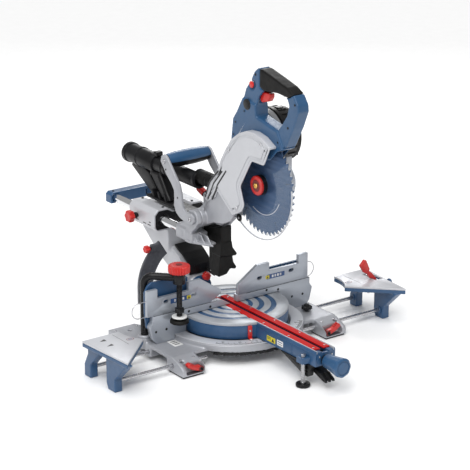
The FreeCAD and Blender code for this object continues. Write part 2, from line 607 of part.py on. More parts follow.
skirt = Piece("dust_skirt")
skirt.add("YZ", [(92, 216), (92, 236), (60, 239), (46, 244), (24, 250), (24, 212), (58, 212), (60, 216)], -13, 13)
skirt.add("XZ", [(-14, 212), (14, 212), (25, 200), (25, 196), (-20, 196), (-20, 200)], 22, 60)
skirt.add("XZ", [(-17, 196), (19, 196), (28, 150), (24, 146), (8, 150), (4, 140), (-21, 140)], 21.5, 60)
skirt.add("XZ", [(-14, 212), (14, 212), (14, 135), (-14, 135)], 60, 74)
skirt.cut("XY", [(-14, 20), (16, 20), (16, 56), (-14, 56)], 100, 205)

lock_pin = Piece("transport_pin")
lock_pin.turn([(0, 21.5), (4, 21.5), (4, 68), (8, 70), (8, 94), (6, 96), (0, 96)])
lock_pin.place(22, "hinge_y", "hinge_z", (1, 0, 0), -70)
lug_bore = primitive("Cylinder", "lug_bore", (22, "hinge_y", "hinge_z"), rotation((1, 0, 0), -70),
                     Radius=4.05, Height=90)
bored = doc.addObject("Part::Cut", "front_bracket")
bored.Base = bracket.body
bored.Tool = lug_bore
bored.Label = "front_bracket"
PARTS[PARTS.index(bracket.body)] = bored

grip_bar = Piece("carry_handle")
grip_bar.turn([(0, -57.2), (12, -57.2), (14, -50), (15, -10), (15, 10), (14, 44), (12, 50.2), (0, 50.2)], "X",
              (0, "handle_y", "handle_z"))
arms = Piece("carry_arms")
for low, high in ((-63, -57.3), (50.3, 55)):
    arms.add("YZ", [(56, 262), (62, 254), (76, 250), (108, 257), (123, 266), (130, 280), (129, 297), (130, 314),
                    (140, 326), (158, 341), (180, 366), (177, 378), (167, 384), (156, 380), (129, 350), (110, 330),
                    (103, 310), (101, 292), (95, 280), (86, 276), (68, 277), (58, 271)], low, high)

duct = Piece("dust_port")
duct.disc("XZ", "duct_x", "duct_z", "duct_rad", 112, 300)
duct.disc("XZ", "duct_x + 5", "duct_z + 9", 16, 58, 120)
duct.disc("XZ", "duct_x", "duct_z", "port_rad", 268, 384)
duct.disc("XZ", "duct_x", "duct_z", "port_rad + 2", 376, 384)
duct.add("YZ", [(104, 241), (126, 241), (130, 251), (292, 251), (292, 257), (104, 257)], -28, 8)
duct.add("YZ", [(258, 257), (288, 257), (370, 303), (364, 312), (330, 314), (300, 302)], -15, -5)
duct.add("YZ", [(205, 257), (235, 257), (288, 304), (280, 314), (248, 314)], -24, 4)
duct.add("YZ", [(235, 257), (258, 257), (300, 302), (288, 304)], -12, -8)
duct.hole("XZ", "duct_x", "duct_z", "port_bore", 290, 385)
duct.hole("XZ", "duct_x", "duct_z", "duct_rad - 2.5", 118, 291)
duct.hole("XZ", "duct_x + 5", "duct_z + 9", 13.5, 57, 119)

# ---------------------------------------------------------------- saw head

head = Piece("head_casting")
head.disc("YZ", "hinge_y", "hinge_z", "barrel_rad", -44.6, 39.6)
head.add("YZ", [(66, 246), (86, 260), (82, 280), (40, 318), (14, 341.7), (-43, 297.7), (-34, 282), (-5, 268),
                (30, 262)], -31, -24)
head.add("YZ", [(66, 246), (86, 260), (82, 280), (20, 345), (14, 398), (0, 398), (-60, 418), (-150, 440),
                (-150, 400), (-140, 350), (-95, 337), (-30, 290), (30, 262)], 24, 39.6)
head.add("YZ", [(62, 276), (76, 284), (40, 318), (16, 341), (6, 334)], -31, 39.6)
head.disc("YZ", "blade_y", "blade_z", "boss_rad", 7.5, 58)
head.hole("YZ", "blade_y", "blade_z", "arbor_rad + 0.05", 7, 59)
head.hole("YZ", "hinge_y", "hinge_z", "pin_rad + 0.04", -45, 40)

cover = Piece("side_cover")
COVER = [(-1, 408), (-20, 437), (-38, 461), (-66, 481), (-91, 491), (-116, 493), (-143, 488), (-172, 474),
         (-151, 432), (-110, 432), (-70, 368), (-84, 330), (-74, 314), (-43, 298), (12, 338), (18, 322),
         (50, 304), (58, 312), (46, 340), (39, 353), (8, 385)]
cover.add("YZ", COVER, -34, -31.2)
cover.add("YZ", [(-1, 408), (-20, 437), (-38, 461), (-66, 481), (-91, 491), (-116, 493), (-143, 488),
                 (-172, 474), (-170, 470), (-142, 484.5), (-116, 489.5), (-92, 487.5), (-68, 478), (-41, 458),
                 (-23, 434), (-4, 405.5), (10, 346), (14, 342)], -31.2, -17)

shell = Piece("blue_housing")
shell.add("YZ", [(0, 398), (-12, 432), (-15, 458), (-21, 500), (-34, 517), (-54, 550), (-100, 544), (-103, 519),
                 (-150, 509), (-171, 506), (-184, 486), (-192, 472), (-172, 462), (-150, 440), (-60, 418)], -17, 16)
shell.hole("YZ", "blade_y", "blade_z", "cavity_rad", -14.5, 13)
shell.add("YZ", [(-21, 500), (-34, 517), (-54, 550), (-62, 571), (-78, 590), (-91, 612), (-104, 622), (-116, 621),
                 (-160, 611), (-200, 601), (-222, 590), (-236, 572), (-238, 558), (-222, 522), (-196, 476),
                 (-150, 496)], -14, 14)
shell.cut("YZ", [(-101, 521), (-99, 544), (-106, 562), (-122, 578), (-168, 583), (-200, 579), (-207, 566),
                 (-200, 543), (-172, 508)], -18, 17)
shell.cut("YZ", [(-108, 630), (-108, 583), (-123, 577), (-168, 582), (-204, 580), (-222.5, 591), (-230, 612)],
          -18, 18)
shell.cut("YZ", [(-97, 548), (-97, 578), (-138, 584), (-138, 548)], -7.6, 7.6)
shell.hole("YZ", -84, 584, 7.2, -18, -9.5)

rubber = Piece("handle_grip")
rubber.add("YZ", [(-108.4, 621), (-116, 621), (-160, 611), (-200, 601), (-221.8, 590.8), (-204, 580.6), (-168, 583),
                  (-123.5, 578), (-108.4, 583.6)], -14, 14)

trigger = Piece("trigger")
trigger.add("YZ", [(-103, 562), (-101, 553), (-108, 550), (-128, 556), (-134, 565), (-134, 574), (-108, 574)], -7, 7)

button = Piece("lock_off_button")
button.disc("YZ", -84, 584, 7, -17, -12.8)

motor = Piece("motor")
motor.disc("YZ", "motor_y", "motor_z", 30, 16.3, 41)
motor.disc("YZ", "motor_y", "motor_z", "motor_rad", 40, 100)
motor.disc("YZ", "motor_y", "motor_z", "motor_rad + 2.5", 62, 70)
motor.turn([(0, 100), (57, 100), (57, 105), (48, 111), (0, 111)], "X", (0, "motor_y", "motor_z"))

blade = Piece("blade")
blade.disc("YZ", "blade_y", "blade_z", "blade_rad", "-blade_half", "blade_half")
blade.hole("YZ", "blade_y", "blade_z", "arbor_rad + 0.02", -2, 2)

arbor = Piece("arbor")
arbor.turn([(0, -17), ("arbor_rad", -17), ("arbor_rad", 52), (0, 52)], "X", (0, "blade_y", "blade_z"))
arbor.disc("YZ", "blade_y", "blade_z", "hub_rad", -12, "-blade_half - 0.02", "arbor_rad - 1")
arbor.disc("YZ", "blade_y", "blade_z", "hub_rad", "blade_half + 0.02", 6, "arbor_rad - 1")
hub = Piece("hub_cap")
hub.turn([("arbor_rad + 0.02", -12.05), ("hub_rad", -12.05), ("hub_rad", -16), ("hub_rad - 1.5", -17.5),
          (0, -17.5), (0, -17.05), ("arbor_rad + 0.02", -17.05)], "X", (0, "blade_y", "blade_z"))

guard = Piece("blade_guard")
guard.turn([(62, -12), ("guard_rad", -12), ("guard_rad", 10), (38, 10), (38, 8.4), ("guard_rad - 2", 8.4),
            ("guard_rad - 2", "-12 + guard_wall"), (62, "-12 + guard_wall")], "X", (0, 0, 0), 165)
guard.disc("YZ", 0, 0, 60, 8.4, 10, "boss_rad + 0.09")
guard.place(0, "blade_y", "blade_z", (1, 0, 0), 145)

roller = Piece("guard_roller")
roller.disc("YZ", 0, 0, 8, -16.4, -12.3)
roller.place(0, "blade_y + 62", "blade_z - 86", (1, 0, 0), 0)

# ---------------------------------------------------------------- check and write

doc.recompute()
bad = [o.Label for o in doc.Objects if "Invalid" in o.State or "Error" in o.State]
if bad:
    raise RuntimeError("not computed: " + ", ".join(bad))
os.makedirs("parts", exist_ok=True)
for part in PARTS:
    if part.Shape.isNull() or not part.Shape.isValid() or part.Shape.Volume < 1:
        raise RuntimeError("bad shape: " + part.Label)
    part.Shape.exportStep(f"parts/{part.Label}.step")
    print(part.Label, len(part.Shape.Solids), round(part.Shape.Volume / 1000, 1))
print(len(PARTS), "parts")
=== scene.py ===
import math

import bmesh
import bpy
from mathutils import Matrix, Vector


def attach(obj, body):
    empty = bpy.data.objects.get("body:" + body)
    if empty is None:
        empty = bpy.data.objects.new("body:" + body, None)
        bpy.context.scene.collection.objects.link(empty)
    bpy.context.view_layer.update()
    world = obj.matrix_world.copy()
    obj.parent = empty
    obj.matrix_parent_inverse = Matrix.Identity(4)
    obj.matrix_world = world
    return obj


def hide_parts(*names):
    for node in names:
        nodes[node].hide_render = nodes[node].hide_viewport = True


# The saw's looks. Points and sizes are in millimetres, and MM turns them into metres.
# Only the lights and the camera are placed in metres.

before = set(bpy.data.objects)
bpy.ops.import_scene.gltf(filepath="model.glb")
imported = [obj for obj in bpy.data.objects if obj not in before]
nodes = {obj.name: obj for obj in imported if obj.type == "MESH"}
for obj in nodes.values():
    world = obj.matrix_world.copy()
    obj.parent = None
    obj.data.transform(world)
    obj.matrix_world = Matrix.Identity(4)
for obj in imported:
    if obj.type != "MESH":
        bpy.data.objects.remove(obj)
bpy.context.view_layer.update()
MM = 0.001

# The places that pieces share, in millimetres, and the gaps in metres at which points become one.
TABLE_Z = 82
RAIL_X, RAIL_Z = 45, 225
HINGE_Y, HINGE_Z = 70, 264
GRIP_Y, GRIP_Z = 165, 369
MITRE_KNOB = (0, 0, 60)
CLAMP_AXIS = (-154.05, -22.37, 0)
FOOT_AXIS = (-33, -288, 0)
BLADE_Y, BLADE_Z = -103, 375
BLADE_AXIS = (0, BLADE_Y, BLADE_Z)
MOTOR_Y, MOTOR_Z = -40, 453
MOTOR_AXIS = (0, MOTOR_Y, MOTOR_Z)
DUCT_X, DUCT_Z = -10, 329
DUCT_AXIS = (DUCT_X, 0, DUCT_Z)
PIN_AT = (22, HINGE_Y, HINGE_Z)
TOUCHING, WELDED = 1e-6, 1e-5

# ---- materials


def material(
        name, color, rough=0.4, metal=0.0, vary=0.06, grain=0.0, grain_mm=1.5, stretch=(1, 1, 1), wear=0.0,
        coat=0.0, alpha=1.0, dust=0.0, rough_vary=0.08, specular=0.5):
    """A surface with mottled colour and gloss, and where asked bumps, worn edges and patches of dust."""
    surface = bpy.data.materials.new(name)
    surface.use_nodes = True
    tree = surface.node_tree
    add, link = tree.nodes.new, tree.links.new
    tree.nodes.clear()
    out = add("ShaderNodeOutputMaterial")
    shader = add("ShaderNodeBsdfPrincipled")
    link(shader.outputs[0], out.inputs[0])
    shader.inputs["Metallic"].default_value = metal
    shader.inputs["Specular IOR Level"].default_value = specular
    shader.inputs["Coat Weight"].default_value = coat
    shader.inputs["Coat Roughness"].default_value = 0.15
    shader.inputs["Alpha"].default_value = alpha
    where = add("ShaderNodeTexCoord")
    place = add("ShaderNodeMapping")
    place.inputs["Scale"].default_value = stretch
    link(where.outputs["Object"], place.inputs["Vector"])

    def noise(scale_mm, detail):
        s = add("ShaderNodeTexNoise")
        s.inputs["Scale"].default_value = 1 / (scale_mm * MM)
        s.inputs["Detail"].default_value = detail
        link(place.outputs[0], s.inputs["Vector"])
        return s.outputs["Fac"]

    def ramp(value, lo, hi, a, z):
        r = add("ShaderNodeMapRange")
        link(value, r.inputs["Value"])
        for key, v in (("From Min", lo), ("From Max", hi), ("To Min", a), ("To Max", z)):
            r.inputs[key].default_value = v
        return r.outputs["Result"]

    def mix(fac, a, c):
        x = add("ShaderNodeMix")
        x.data_type = "RGBA"
        link(fac, x.inputs["Factor"])
        for socket, v in ((x.inputs["A"], a), (x.inputs["B"], c)):
            if isinstance(v, tuple):
                socket.default_value = v
            else:
                link(v, socket)
        return x.outputs["Result"]

    lo = tuple(max(0, c * (1 - vary)) for c in color) + (1,)
    hi = tuple(min(1, c * (1 + vary)) for c in color) + (1,)
    tone = mix(ramp(noise(38, 4), 0.3, 0.7, 0, 1), lo, hi)
    if wear:
        edge = add("ShaderNodeNewGeometry").outputs["Pointiness"]
        rub = add("ShaderNodeMath")
        rub.operation = "MULTIPLY"
        link(ramp(edge, 0.53, 0.62, 0, wear), rub.inputs[0])
        link(ramp(noise(9, 3), 0.45, 0.65, 0, 1), rub.inputs[1])
        tone = mix(rub.outputs[0], tone, (0.6, 0.6, 0.62, 1))
    if dust:
        tone = mix(ramp(noise(14, 5), 0.52, 0.78, 0, dust), tone, (0.62, 0.55, 0.42, 1))
    link(tone, shader.inputs["Base Color"])
    link(
        ramp(noise(11, 3), 0.3, 0.7, max(0.03, rough - rough_vary), rough + rough_vary),
        shader.inputs["Roughness"])
    if grain:
        bump = add("ShaderNodeBump")
        bump.inputs["Strength"].default_value = grain
        bump.inputs["Distance"].default_value = 0.25 * MM
        link(noise(grain_mm, 3), bump.inputs["Height"])
        link(bump.outputs[0], shader.inputs["Normal"])
    return surface


def turned(name, color, rough, metal, axis, centre, pitch_mm=0.9, depth=0.25):
    """A lathe-turned face, with fine bumped rings about an axis through centre."""
    surface = material(name, color, rough, metal, vary=0.05)
    tree = surface.node_tree
    add, link = tree.nodes.new, tree.links.new
    shader = next(x for x in tree.nodes if x.type == "BSDF_PRINCIPLED")
    where = add("ShaderNodeTexCoord")
    place = add("ShaderNodeMapping")
    place.inputs["Location"].default_value = [-c * MM for c in centre]
    link(where.outputs["Object"], place.inputs["Vector"])
    w = add("ShaderNodeTexWave")
    w.wave_type = "RINGS"
    w.rings_direction = axis
    w.inputs["Scale"].default_value = 1 / (pitch_mm * MM) / 6.283
    w.inputs["Distortion"].default_value = 0.6
    w.inputs["Detail"].default_value = 2
    link(place.outputs[0], w.inputs["Vector"])
    bump = add("ShaderNodeBump")
    bump.inputs["Strength"].default_value = depth
    bump.inputs["Distance"].default_value = 0.1 * MM
    link(w.outputs["Fac"], bump.inputs["Height"])
    link(bump.outputs[0], shader.inputs["Normal"])
    return surface


LOOKS = {
    "cast": material(
        "cast_silver", (0.40, 0.41, 0.44), 0.40, 0.4, grain=0.14, grain_mm=0.9, vary=0.04, wear=0.04,
        dust=0.02),
    "cast_dark": material(
        "cast_grey", (0.10, 0.105, 0.12), 0.5, 0.4, grain=0.3, grain_mm=1.1, wear=0.08, dust=0.03),
    "cover": material("cover_silver", (0.56, 0.57, 0.60), 0.40, 0.2, grain=0.02, grain_mm=2.5, vary=0.02),
    "milled": material(
        "milled_aluminium", (0.42, 0.45, 0.50), 0.38, 0.5, grain=0.08, grain_mm=0.5, stretch=(0.04, 1, 1),
        vary=0.03),
    "table": turned("turned_table", (0.44, 0.46, 0.49), 0.42, 0.35, "Z", (0, 0, TABLE_Z), depth=0.08),
    "steel": material(
        "bright_steel", (0.58, 0.58, 0.60), 0.26, 0.9, vary=0.03, grain=0.02, grain_mm=0.7,
        rough_vary=0.04),
    "chrome": material(
        "hard_chrome", (0.78, 0.79, 0.81), 0.10, 1.0, vary=0.02, grain=0.03, grain_mm=0.4,
        stretch=(1, 0.05, 1), rough_vary=0.04),
    "blue": material(
        "blue_paint", (0.020, 0.075, 0.175), 0.36, grain=0.08, grain_mm=1.3, wear=0.04, coat=0.2),
    "blue_plastic": material(
        "blue_moulding", (0.022, 0.082, 0.185), 0.36, grain=0.12, grain_mm=0.55, coat=0.15),
    "black": material(
        "black_moulding", (0.007, 0.007, 0.008), 0.36, vary=0.2, grain=0.12, grain_mm=0.6, specular=0.28),
    "black_metal": material(
        "black_oxide", (0.007, 0.007, 0.008), 0.30, vary=0.2, grain=0.06, grain_mm=0.8, wear=0.01,
        specular=0.3),
    "rubber": material(
        "soft_rubber", (0.006, 0.0058, 0.0056), 0.5, vary=0.25, grain=0.2, grain_mm=0.5, dust=0.003,
        specular=0.2),
    "red": material(
        "red_moulding", (0.56, 0.018, 0.014), 0.36, vary=0.1, grain=0.25, grain_mm=0.6, coat=0.15),
    "red_dark": material(
        "red_dark_moulding", (0.16, 0.012, 0.012), 0.42, vary=0.1, grain=0.3, grain_mm=0.6),
    "red_insert": material(
        "red_insert", (0.47, 0.012, 0.012), 0.6, grain=0.12, grain_mm=0.7, stretch=(1, 0.06, 1),
        specular=0.12),
    "blade": turned("coated_blade", (0.034, 0.078, 0.17), 0.36, 0.35, "X", BLADE_AXIS, 0.7, 0.02),
    "carbide": material("carbide_edge", (0.66, 0.66, 0.66), 0.3, 0.9, grain=0.3, grain_mm=0.4),
    "brass": material("brass", (0.65, 0.42, 0.12), 0.28, 0.95, grain=0.1, grain_mm=0.7),
    "clear": material(
        "clear_guard", (0.70, 0.80, 0.90), 0.06, vary=0.02, alpha=0.05, rough_vary=0.03, specular=0.15,
        grain=0.02, grain_mm=30),
    # Painted shade: a near-black fill laid into holes, slots, vents and gaps in place of the shade inside
    # them, with some dust mottling.
    "dark": material("painted_recess_shade", (0.006, 0.006, 0.007), 0.7, vary=0.3, grain=0.4, dust=0.1),
    # White marks, and on the blade the painted sheen arcs.
    "white": material("white_marks_and_sheen", (0.75, 0.75, 0.74), 0.45, vary=0.03, grain=0.05, dust=0.04),
    # Black marks, and the dark fill of the side cover's vents, where it is painted shade inside the slots.
    "ink_and_vent_shade": material("black_marks_and_vent_shade", (0.012, 0.012, 0.014), 0.4, vary=0.2, grain=0.05),
    "yellow": material("yellow_label", (0.62, 0.52, 0.02), 0.42, grain=0.05, dust=0.03),
    "label_blue": material("blue_label", (0.03, 0.08, 0.22), 0.42, vary=0.1, grain=0.05, dust=0.03),
    "grey": material(
        "grey_moulding", (0.22, 0.225, 0.235), 0.45, vary=0.1, grain=0.35, grain_mm=0.6, dust=0.04),
}

# ---- mesh helpers


def placed(name, data):
    """A new object in the scene."""
    o = bpy.data.objects.new(name, data)
    bpy.context.scene.collection.objects.link(o)
    return o


def baked(o):
    """The object's mesh with its curve or modifiers worked out. The object itself goes."""
    bpy.context.view_layer.update()
    mesh = bpy.data.meshes.new_from_object(o.evaluated_get(bpy.context.evaluated_depsgraph_get()))
    bpy.data.objects.remove(o)
    return mesh


def made(name, verts, faces, mat, angle=38):
    """A piece from millimetre points."""
    mesh = bpy.data.meshes.new(name)
    mesh.from_pydata([Vector(v) * MM for v in verts], [], faces)
    mesh.validate()
    return dressed(name, mesh, mat, angle)


def dressed(name, mesh, mat, angle=38):
    """A cleaned mesh as a piece of one material, smooth but for edges sharper than angle."""
    mesh.materials.clear()
    mesh.materials.append(LOOKS[mat] if isinstance(mat, str) else mat)
    for p in mesh.polygons:
        p.material_index = 0
    bm = bmesh.new()
    bm.from_mesh(mesh)
    bmesh.ops.remove_doubles(bm, verts=bm.verts, dist=TOUCHING)
    bmesh.ops.dissolve_degenerate(bm, edges=bm.edges, dist=TOUCHING)
    bmesh.ops.recalc_face_normals(bm, faces=bm.faces)
    bm.to_mesh(mesh)
    bm.free()
    for p in mesh.polygons:
        p.use_smooth = True
    mesh.set_sharp_from_angle(angle=math.radians(angle))
    return placed(name, mesh)


def rounded(points, radius):
    """The outline with its corners rounded; radius is one number or one per corner."""
    out = []
    steps = 5
    count = len(points)
    for i in range(count):
        r = radius[i] if isinstance(radius, (list, tuple)) else radius
        p, a, b = Vector(points[i]), Vector(points[i - 1]), Vector(points[(i + 1) % count])
        u, v = (a - p), (b - p)
        half = u.angle(v, math.pi) / 2
        if r <= 0 or half > 1.55:
            out.append(tuple(p))
            continue
        back = min(r / math.tan(half), u.length * 0.49, v.length * 0.49)
        u, v = u.normalized() * back, v.normalized() * back
        for k in range(steps + 1):
            s = k / steps
            out.append(tuple(p + u * (1 - s) ** 2 + v * s ** 2))
    return out


def inset(points, by):
    """The outline moved inward by a distance."""
    out = []
    count = len(points)
    area = sum(points[i - 1][0] * points[i][1] - points[i][0] * points[i - 1][1] for i in range(count))
    sign = 1 if area > 0 else -1
    for i in range(count):
        p, a, b = Vector(points[i]), Vector(points[i - 1]), Vector(points[(i + 1) % count])
        u, v = (p - a).normalized(), (b - p).normalized()
        nu, nv = Vector((-u.y, u.x)) * sign, Vector((-v.y, v.x)) * sign
        n = nu + nv
        n = n / max(0.35, n.dot(nu))
        out.append(tuple(p + n * by))
    return out


TURN = {
    "XY": Matrix.Identity(3),
    "YZ": Matrix(((0, 0, 1), (1, 0, 0), (0, 1, 0))),
    "XZ": Matrix(((1, 0, 0), (0, 0, 1), (0, 1, 0))),
}


def slab(name, outline, plane, low, high, mat, edge=1.0, holes=(), steps=2):
    """A plate with rounded edges and holes: outline in its plane, low to high along the third axis."""
    c = bpy.data.curves.new(name, "CURVE")
    c.dimensions = "2D"
    c.fill_mode = "BOTH"
    edge = min(edge, (high - low) / 2 - 0.01)
    c.extrude = ((high - low) / 2 - edge) * MM
    c.bevel_depth = edge * MM
    c.bevel_resolution = steps
    c.offset = -edge * MM
    for loop in [outline] + list(holes):
        s = c.splines.new("POLY")
        s.points.add(len(loop) - 1)
        for p, (u, v) in zip(s.points, loop):
            p.co = (u * MM, v * MM, 0, 1)
        s.use_cyclic_u = True
    mesh = baked(placed(name, c))
    middle = (low + high) / 2 * MM
    for v in mesh.vertices:
        v.co = TURN[plane] @ (v.co + Vector((0, 0, middle)))
    return dressed(name, mesh, mat)


def box(u0, v0, u1, v1):
    """The corners of a rectangle."""
    return [(u0, v0), (u1, v0), (u1, v1), (u0, v1)]


def circle(u, v, r, count):
    """Points all round a centre."""
    angles = [math.tau * k / count for k in range(count)]
    return [(u + r * math.cos(a), v + r * math.sin(a)) for a in angles]


def arc(u, v, r, first, last, count):
    """Points round a centre from one angle to another, in degrees."""
    angles = [math.radians(first + (last - first) * k / count) for k in range(count + 1)]
    return [(u + r * math.cos(a), v + r * math.sin(a)) for a in angles]


def oval(u, v, half_u, half_v):
    """A slot with round ends, longer along u."""
    gap = half_u - half_v
    return arc(u + gap, v, half_v, -90, 90, 10) + arc(u - gap, v, half_v, 90, 270, 10)


AXES = {
    "X": lambda r, a, h: (h, r * math.cos(a), r * math.sin(a)),
    "Y": lambda r, a, h: (r * math.cos(a), h, r * math.sin(a)),
    "Z": lambda r, a, h: (r * math.cos(a), r * math.sin(a), h),
}


def lathe(
        name, profile, axis, centre, mat, segments=64, flutes=None, angle=38, sweep=(0, 360), closed=False):
    """A turned piece: profile is (radius, height) from one end to the other, or a loop when closed.

    flutes = (count, depth, from_radius) and sweep = (first, last) in degrees.
    """
    verts, faces = [], []
    full = sweep[1] - sweep[0] >= 360
    columns = segments if full else segments + 1
    for k in range(columns):
        a = math.radians(sweep[0] + (sweep[1] - sweep[0]) * k / segments)
        for r, h in profile:
            q = r
            if flutes and r > flutes[2]:
                q = r - flutes[1] * (0.5 - 0.5 * math.cos(flutes[0] * a))
            p = AXES[axis](q, a, h)
            verts.append((p[0] + centre[0], p[1] + centre[1], p[2] + centre[2]))
    rows = len(profile)
    last = rows if closed else rows - 1
    for k in range(segments):
        k2 = (k + 1) % columns
        for j in range(last):
            j2 = (j + 1) % rows
            faces.append((k * rows + j, k2 * rows + j, k2 * rows + j2, k * rows + j2))
    if not full:
        faces.append(tuple(range(rows)))
        faces.append(tuple((columns - 1) * rows + j for j in range(rows)))
    return made(name, verts, faces, mat, angle)


def rod(name, points, radius, mat):
    """A round bar along points."""
    c = bpy.data.curves.new(name, "CURVE")
    c.dimensions = "3D"
    c.bevel_depth = radius * MM
    c.bevel_resolution = 4
    c.use_fill_caps = True
    s = c.splines.new("POLY")
    s.points.add(len(points) - 1)
    for p, q in zip(s.points, points):
        p.co = (q[0] * MM, q[1] * MM, q[2] * MM, 1)
    return dressed(name, baked(placed(name, c)), mat)


def turned_by(obj, axis, degrees, about=(0, 0, 0)):
    """The piece with its mesh turned about a point."""
    c = Vector(about) * MM
    turn = Matrix.Rotation(math.radians(degrees), 4, axis)
    obj.data.transform(Matrix.Translation(c) @ turn @ Matrix.Translation(-c))
    return obj


def together(name, objs, body, stands_for=()):
    """One piece from several, keeping their materials."""
    bm = bmesh.new()
    mats = []
    for o in objs:
        mat = o.data.materials[0]
        if mat not in mats:
            mats.append(mat)
        start = len(bm.faces)
        bm.from_mesh(o.data)
        bm.faces.ensure_lookup_table()
        for f in bm.faces[start:]:
            f.material_index = mats.index(mat)
    mesh = bpy.data.meshes.new(name)
    bm.to_mesh(mesh)
    bm.free()
    for mat in mats:
        mesh.materials.append(mat)
    for o in objs:
        bpy.data.objects.remove(o)
    piece = placed(name, mesh)
    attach(piece, body)
    if stands_for:
        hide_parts(*stands_for)
    return piece


def cast(name, sources, mat, body, voxel, soften, decimate, stands_for, cuts=()):
    """A casting or moulding: the sources melt into one skin, and its edges soften after the cuts."""
    bm = bmesh.new()
    for o in sources:
        bm.from_mesh(o.data)
        if o.name not in nodes:
            bpy.data.objects.remove(o)
    bmesh.ops.remove_doubles(bm, verts=bm.verts, dist=TOUCHING)
    mesh = bpy.data.meshes.new(name)
    bm.to_mesh(mesh)
    bm.free()
    o = placed(name, mesh)
    melt = o.modifiers.new("melt", "REMESH")
    melt.mode = "VOXEL"
    melt.voxel_size = voxel * MM
    for cut in cuts:
        taken = o.modifiers.new("cut", "BOOLEAN")
        taken.operation = "DIFFERENCE"
        taken.object = cut
    smooth = o.modifiers.new("soften", "SMOOTH")
    smooth.factor = 0.5
    smooth.iterations = soften
    o.modifiers.new("thin", "DECIMATE").ratio = decimate
    done = baked(o)
    for cut in cuts:
        bpy.data.objects.remove(cut)
    piece = dressed(name, done, mat, angle=50)
    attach(piece, body)
    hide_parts(*stands_for)
    return piece


def recast(node, name, mat, body, voxel, soften, decimate, cuts=()):
    """The casting that stands for one CAD node."""
    return cast(name, [nodes[node]], mat, body, voxel, soften, decimate, [node], cuts)


def kept(node, mat, width=0.8):
    """A CAD node that shows as it is, with its edges broken by width."""
    o = nodes[node]
    o.data.materials.clear()
    o.data.materials.append(LOOKS[mat])
    for p in o.data.polygons:
        p.use_smooth = True
    if width:
        w = o.modifiers.new("weld", "WELD")
        w.merge_threshold = WELDED
        d = o.modifiers.new("flats", "DECIMATE")
        d.decimate_type = "DISSOLVE"
        d.angle_limit = math.radians(0.6)
        b = o.modifiers.new("edges", "BEVEL")
        b.width = width * MM
        b.segments = 2
        b.limit_method = "ANGLE"
        b.angle_limit = math.radians(30)
        b.harden_normals = True


def screw(name, at, axis, r, mat="steel", up=1, height=None):
    """A pan head with a round socket, at a point. The head grows along the axis by up."""
    h = (height or r * 0.7) * up
    profile = [(0, 0), (r * 0.98, 0), (r, h * 0.45), (r * 0.9, h * 0.85), (r * 0.7, h)]
    profile += [(r * 0.5, h), (r * 0.46, h * 0.4), (0, h * 0.4)]
    return lathe(name, profile, axis, at, mat, segments=24)


def star_knob(name, at, r, depth, bite=0.22):
    """A red six-lobed hand knob whose shank side is at the point. It grows towards -X."""
    profile = [(0, 0), (r * 0.55, 0), (r * 0.95, -depth * 0.18), (r, -depth * 0.4), (r, -depth * 0.75)]
    profile += [(r * 0.93, -depth * 0.95), (r * 0.75, -depth), (r * 0.3, -depth * 0.93), (0, -depth * 0.9)]
    return lathe(name, profile, "X", at, "red", 80, (6, r * bite, r * 0.6))


def ticks(name, radius, length, degrees, z, mat, width):
    """Printed scale lines about the turntable's axis, every fifth one long, counted from the front."""
    verts, faces = [], []
    for d in degrees:
        long = length * (1.0 if d % 5 == 0 else 0.6)
        a = math.radians(d - 90)
        c, s = math.cos(a), math.sin(a)
        base = len(verts)
        for w, r in box(-width / 2, radius, width / 2, radius - long):
            verts.append((r * c - w * s, r * s + w * c, z))
        verts += [(x, y, z + 0.12) for x, y, _ in verts[base:base + 4]]
        faces += [
            tuple(base + i for i in f)
            for f in ((4, 5, 6, 7), (0, 1, 5, 4), (1, 2, 6, 5), (2, 3, 7, 6), (3, 0, 4, 7), (3, 2, 1, 0))]
    return made(name, verts, faces, mat)


def number(text, at, size, turn, mat, name):
    """A number on the scale, flat and facing up."""
    c = bpy.data.curves.new(name, "FONT")
    c.body = text
    c.size = size * MM
    c.align_x = "CENTER"
    c.align_y = "CENTER"
    c.extrude = 0.06 * MM
    mesh = baked(placed(name, c))
    mesh.transform(Matrix.Translation(Vector(at) * MM) @ Matrix.Rotation(math.radians(turn), 4, "Z"))
    return dressed(name, mesh, mat)


# ---- base

recast("base_casting", "base_shell", "cast", "base", 2.0, 4, 0.3)
kept("rubber_feet", "rubber", 0.8)
kept("detent_ring", "black_metal", 0.4)

band, hole = circle(0, 0, 149.4, 128), circle(0, 0, 123, 128)
scale = [slab("scale_band", band, "XY", 45.0, 46.9, "cover", 0.3, holes=[hole])]
scale.append(ticks("scale_ticks", 148, 11, range(-50, 51), 46.9, "ink_and_vent_shade", 0.9))
for d in (-45, -30, -15, 0, 15, 30, 45):
    a = math.radians(d - 90)
    scale.append(number(
        str(abs(d)), (134.5 * math.cos(a), 134.5 * math.sin(a), 46.98), 7, d, "ink_and_vent_shade", f"num{d}"))
together("mitre_scale", scale, "base")

pad = rounded([(-174, -34), (-152, -34), (-151, -2), (-173, -2)], 2)
trim = [slab("pad", pad, "XY", 35.0, 35.4, "white", 0.12)]
for k in range(3):
    trim.append(slab("mark", box(-169, -27 + 8 * k, -157, -24 + 8 * k), "XY", 35.3, 35.5, "ink_and_vent_shade", 0.05))
for side in (1, -1):
    trim.append(slab("rib", box(side * 150, 2, side * 156, 6), "XY", 34, 38, "cast", 0.6))
    for x, y in ((168, -92), (200, -92), (176, 110), (228, 110)):
        trim.append(screw("bolt", (side * x, y, 34 if y > 0 else 29), "Z", 3.6))
    trim.append(lathe(
        "collar", [(8.3, 44.5), (13.4, 44.5), (14.4, 46), (14.4, 48), (13, 49.5), (8.3, 49.5)], "Z",
        (side * 206, 32, 0), "cast", closed=True))
    # The pocket is a thin sheet of darker grey that paints the shade in the recess at the front of the
    # base.
    trim.append(slab(
        "pocket", rounded(box(side * 161, -119.6, side * 201, -105), 3), "XY", 6.0, 6.4, "cast_dark", 0.15))
together("base_details", trim, "base")

